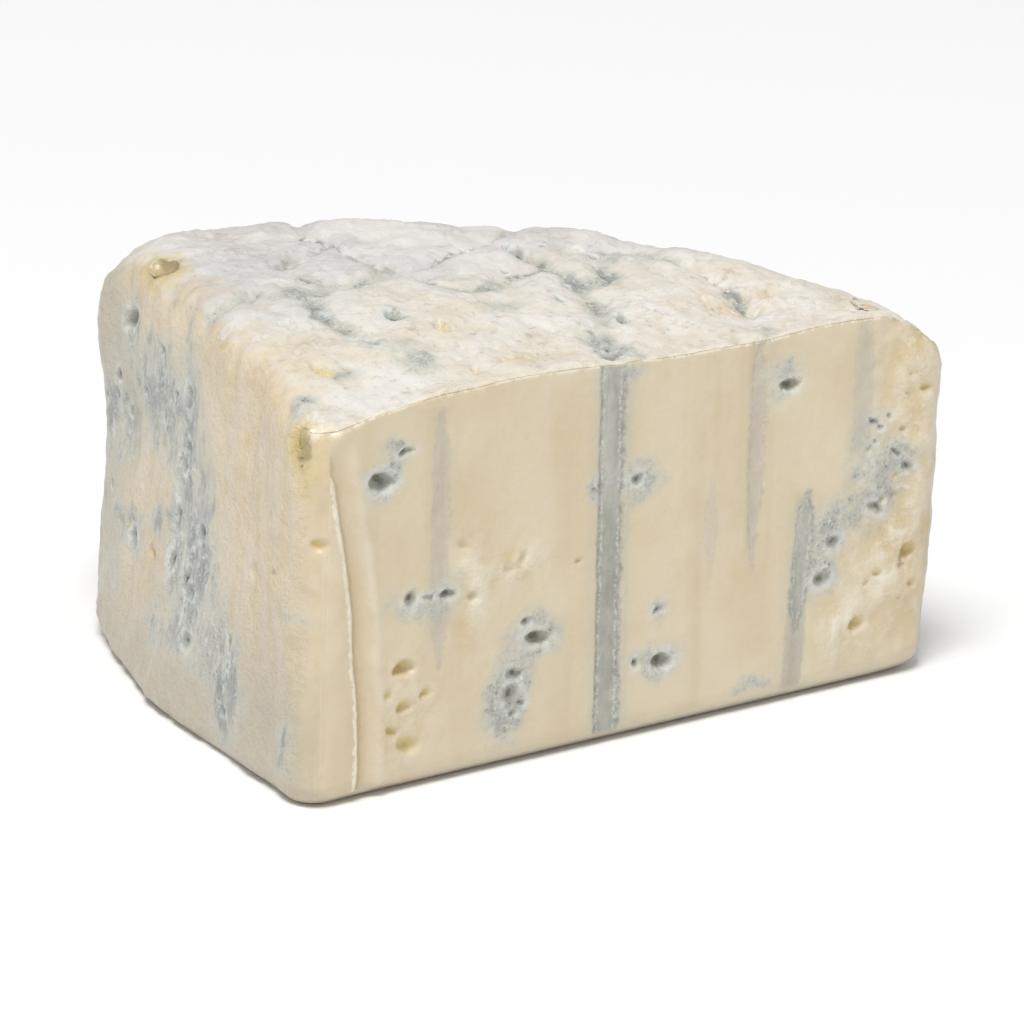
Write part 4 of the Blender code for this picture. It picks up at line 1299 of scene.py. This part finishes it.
# Tracks: middle at the foot, half width, top, foot, taper, lean, how blue, how lilac
TRACK_LOOKS = (
    (61.9, 2.3, 72.0, -1.0, 2, 0.0, 1.0, 0.0),
    (91.4, 1.6, 71.0, 26.0, 16, 0.020, 0.10, 0.66),
    (82.9, 1.3, 45.0, 26.0, 9, 0.0, 0.0, 0.40),
    (101.2, 1.9, 38.8, 12.0, 6, 0.065, 0.80, 0.1),
    (101.2, 2.0, 38.8, -3.0, 7, 0.065, 0.30, 0.5),
    (115.0, 1.9, 70.0, 40.0, 9, 0.0, 0.12, 0.4),
    (27.2, 1.6, 67.5, 20.0, 10, 0.0, 0.18, 0.38),
)


def track_bands(place, on_cut):
    """All needle tracks together: blue, lilac, haze, dark edges and bright edges."""
    sums = dict.fromkeys(("blue", "lilac", "haze", "edge", "glint"), 0.0)
    for *sizes, lean, how_blue, how_lilac in TRACK_LOOKS:
        inputs = {"Place": place, "Lean": lean}
        inputs |= dict(zip(("Middle", "Half Width", "Top", "Foot", "Taper"), (v * MM for v in sizes)))
        band = put(place.id_data, "ShaderNodeGroup", inputs, node_tree=needle_track).outputs
        crisp = max(how_blue, 0.5 * how_lilac)
        for key, output, strength in (
                ("blue", "Inside", how_blue), ("lilac", "Inside", how_lilac),
                ("haze", "Haze", crisp), ("edge", "Edge", crisp), ("glint", "Glint", crisp)):
            sums[key] = maths("MAXIMUM", sums[key], times(band[output], strength))
    return {key: times(value, on_cut) for key, value in sums.items()}


def track_grey(place, local):
    """Grey drawn out upright, in uneven patches, and darker towards the foot."""
    drawn = stretched(place, TORN_STRETCH)
    uneven = grain(drawn, 240, 4, 0.65)
    height = put(local.id_data, "ShaderNodeSeparateXYZ", {0: local}).outputs["Z"]
    return layered(
        TRACK_GREY,
        (patches(drawn, 420, 5, 0.7, 0.36, 0.64), TRACK_LIGHT),
        (spread(uneven, 0.50, 0.66, 0.0, 0.60), TRACK_EDGE),
        (spread(uneven, 0.46, 0.34, 0.0, 0.60), MOULD_LIGHT),
        (spread(height, 40 * MM, 10 * MM, 0.0, 0.35), TRACK_EDGE))


print("tracks:", len(TRACK_LOOKS))

# %% [markdown]
# ## The cheese's material
# The ground is the cream paste on the cuts and the rind outside. Over it come the warm stains
# near the rim, the needle tracks, the mould, the mark of the wire with its painted shadow and
# highlight, the linings of the eyes, darker at the bottom partly as painted shade, and the crisp
# top edge with painted highlights. A thin coat gives the cut the faint shine of fat.

# %% Build the material
WARM_TAN, CREASE_GREY = (0.640, 0.470, 0.235, 1), (0.225, 0.240, 0.220, 1)
COAT_WEIGHT, COAT_ROUGHNESS = 0.12, 0.22
BUMP_STRENGTH, BUMP_DISTANCE = 0.7, 0.3 * MM


def crumb_height(place, mask):
    """Fine noise, stronger on the rough cut and in mould, plus crumbs and the grain of dry rind."""
    height = plus(grain(place, 800, 4, 0.62), 1.0, times(grain(place, 2400, 3, 0.6), 0.35))
    coarse = maths("MAXIMUM", mask["rough_cut"], mask["mould"])
    height = times(height, spread(coarse, 0.0, 1.0, 0.4, 2.0))
    height = plus(times(grain(place, 360, 4, 0.62), mask["crumbly"]), 4.0, height)
    dry = times(grain(place, 420, 4, 0.65), spread(mask["rind"], 0.3, 0.7))
    return plus(dry, 2.2, height)


def cheese_material():
    """Layers of colour from the ground up, then roughness, bump and the shader."""
    material = bpy.data.materials.new("cheese")
    material.use_nodes = True
    tree = material.node_tree
    tree.nodes.clear()
    mask = {name: put(tree, "ShaderNodeAttribute", attribute_name=name).outputs["Fac"]
            for name in masks}
    place = put(tree, "ShaderNodeTexCoord").outputs["Object"]
    inputs = {"Vector": place, "Location": tuple(-FRONT_CORNER)}
    local = put(tree, "ShaderNodeMapping", inputs).outputs[0]
    inputs = {"Place": place, "Age": mask["back"], "Rim": mask["rim"]}
    rind_look = put(tree, "ShaderNodeGroup", inputs, node_tree=rind_nodes).outputs["Colour"]
    on_rind = spread(plus(swing(place, 700, 4, 0.65), 0.5, mask["rind"]), 0.30, 0.70)
    tracks, grey = track_bands(local, mask["clean_cut"]), track_grey(place, local)
    ground = layered(
        paste_colour(place, mask),
        (on_rind, rind_look),
        (times(mask["warm"], patches(place, 240, 4, 0.65, 0.35, 0.62), 0.7), WARM_TAN),
        (times(tracks["haze"], 0.90), TRACK_HAZE),
        (times(tracks["lilac"], patches(place, 190, 4, 0.65, 0.25, 0.60, 0.35, 1.0)), LILAC),
        (times(tracks["blue"], 0.88), grey))
    amount = plus(tracks["blue"], 0.28, plus(mask["net"], 0.50, mask["mould"]))
    inputs = {"Ground": ground, "Place": place, "Amount": amount, "Fibre": mask["rough_cut"]}
    stained = put(tree, "ShaderNodeGroup", inputs, node_tree=mould_nodes).outputs["Colour"]
    torn = plus(swing(place, 600, 4, 0.7), 1.6, mask["wire"])
    burr_shadow_gap = maths("ABSOLUTE", maths("SUBTRACT", torn, 0.9))
    colour = layered(
        stained,
        (times(tracks["blue"], 0.40), grey),
        (times(mask["crease"], patches(place, 500, 4, 0.65, 0.40, 0.58), 0.85), CREASE_GREY),
        (times(tracks["glint"], 0.55), RING_WHITE),
        (times(tracks["edge"], 0.50), TRACK_EDGE),
        # Painted shadow: a thin dark line beside the wire's burr
        (spread(burr_shadow_gap, 0.8, 0.10, 0.0, 0.40), BURR_SHADOW_BROWN),
        # Painted highlight: the bright line of the wire's torn burr
        (spread(maths("ABSOLUTE", torn), 0.60, 0.22, 0.0, 0.95), MILK),
        *eye_layers(place, mask),
        (times(mask["crisp"], 0.55), CREAM),
        # Painted highlights: bright beads along the clean cut's top edge
        (times(mask["crisp"], patches(place, 650, 3, 0.6, 0.42, 0.56), 0.95), MILK))
    gloss = blend(on_rind, patches(place, 300, 3, 0.55, 0.3, 0.7, 0.34, 0.50), 0.62)
    gloss = blend(mask["golden"], gloss, 0.36)
    inputs = {"Height": crumb_height(place, mask), "Strength": BUMP_STRENGTH, "Distance": BUMP_DISTANCE}
    bump = put(tree, "ShaderNodeBump", inputs).outputs[0]
    shader = put(tree, "ShaderNodeBsdfPrincipled", {
        "Base Color": colour, "Roughness": gloss, "Normal": bump, "Metallic": 0.0,
        "Coat Weight": COAT_WEIGHT, "Coat Roughness": COAT_ROUGHNESS,
    })
    output = put(tree, "ShaderNodeOutputMaterial")
    tree.links.new(shader.outputs[0], output.inputs[0])
    return material


mesh.materials.append(cheese_material())
print("material nodes:", len(mesh.materials[0].node_tree.nodes))

# %% [markdown]
# ## Hand the piece to the frame
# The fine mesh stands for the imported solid. It rides on the one body of the part.

# %% Add the cheese to the scene
cheese = bpy.data.objects.new("cheese", mesh)
bpy.context.scene.collection.objects.link(cheese)
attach(cheese, "root")
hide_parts(NODE)
print("triangles:", sum(len(face.vertices) - 2 for face in mesh.polygons))

# %% [markdown]
# ## Floor, light and camera
# The wedge stands on a plain white floor under one broad soft light from the front left and
# above, and a white surround fills the shadows. The camera is far away with a long lens, as in
# a product picture, and looks slightly down at the front corner.

# %% Stage, lights and camera
FLOOR_SIZE = 6.0
FLOOR_WHITE = (0.955, 0.955, 0.955, 1)
KEY_PLACE, KEY_SIZE, KEY_POWER = (-1.00, -0.92, 3.30), 1.3, 92.0
WORLD_STRENGTH = 0.44
AIM = np.array((65, 55, 35)) * MM + FRONT_CORNER
AZIMUTH, ELEVATION, ROLL = math.radians(-33.96), math.radians(19.25), math.radians(0.9)
DISTANCE = 1247.5 * MM
LENS = 248.4
SIDEWAYS, DOWNWARDS = 11.65 * MM, 9.49 * MM


def stage_floor():
    """A large plain floor just under the cheese."""
    half = FLOOR_SIZE / 2
    floor_mesh = bpy.data.meshes.new("floor")
    corners = [(x * half, y * half, -0.0002) for x, y in ((-1, -1), (1, -1), (1, 1), (-1, 1))]
    floor_mesh.from_pydata(corners, [], [(0, 1, 2, 3)])
    material = bpy.data.materials.new("floor")
    material.use_nodes = True
    shader = material.node_tree.nodes["Principled BSDF"]
    shader.inputs["Base Color"].default_value = FLOOR_WHITE
    shader.inputs["Roughness"].default_value = 0.9
    floor_mesh.materials.append(material)
    floor = bpy.data.objects.new("floor", floor_mesh)
    bpy.context.scene.collection.objects.link(floor)
    floor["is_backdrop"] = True


def soft_light(name, where, size, power):
    """A square area light that points at the cheese."""
    data = bpy.data.lights.new(name, "AREA")
    data.size, data.energy = size, power
    lamp = bpy.data.objects.new(name, data)
    bpy.context.scene.collection.objects.link(lamp)
    lamp.location = where
    aim = np.array((0, 0, 0.035)) - where
    lamp.rotation_euler = Vector(aim).to_track_quat("-Z", "Y").to_euler()


def photo_camera():
    """A long lens at the picture's distance; aimed off the middle so that no lens shift is needed."""
    back = np.array((math.sin(AZIMUTH) * math.cos(ELEVATION),
                     -math.cos(AZIMUTH) * math.cos(ELEVATION), math.sin(ELEVATION)))
    right = np.array((math.cos(AZIMUTH), math.sin(AZIMUTH), 0.0))
    up = np.cross(back, right)
    across = right * math.cos(ROLL) + up * math.sin(ROLL)
    upward = -right * math.sin(ROLL) + up * math.cos(ROLL)
    location = AIM + back * DISTANCE
    centre = AIM + across * SIDEWAYS - upward * DOWNWARDS
    look = (location - centre) / np.linalg.norm(location - centre)
    across = np.cross(upward, look)
    across /= np.linalg.norm(across)
    upward = np.cross(look, across)
    data = bpy.data.cameras.new("camera")
    data.lens, data.sensor_width = LENS, 36.0
    data.clip_start, data.clip_end = 0.05, 20.0
    camera = bpy.data.objects.new("camera", data)
    bpy.context.scene.collection.objects.link(camera)
    turned = np.eye(4)
    turned[:3, 0], turned[:3, 1], turned[:3, 2], turned[:3, 3] = across, upward, look, location
    camera.matrix_world = Matrix(turned.tolist())
    bpy.context.scene.camera = camera


stage_floor()
soft_light("key", KEY_PLACE, KEY_SIZE, KEY_POWER)
photo_camera()
world = bpy.data.worlds.new("studio")
world.use_nodes = True
world.node_tree.nodes["Background"].inputs[0].default_value = (1, 1, 1, 1)
world.node_tree.nodes["Background"].inputs[1].default_value = WORLD_STRENGTH
bpy.context.scene.world = world
bpy.context.scene.view_settings.view_transform = "Standard"
print("camera at", np.round(bpy.context.scene.camera.matrix_world.translation, 2))

# %% [markdown]
# ## The sizes at the end
# The fine surface's box is printed, and kept beside the solid's box in one dict.

# %% The sizes at the end
low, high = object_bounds()
sizes = {"cad": [list(cad_low), list(cad_high)], "visual": [list(low), list(high)]}
print("cheese box in mm:", [round(v / MM, 1) for v in (*low, *high)])
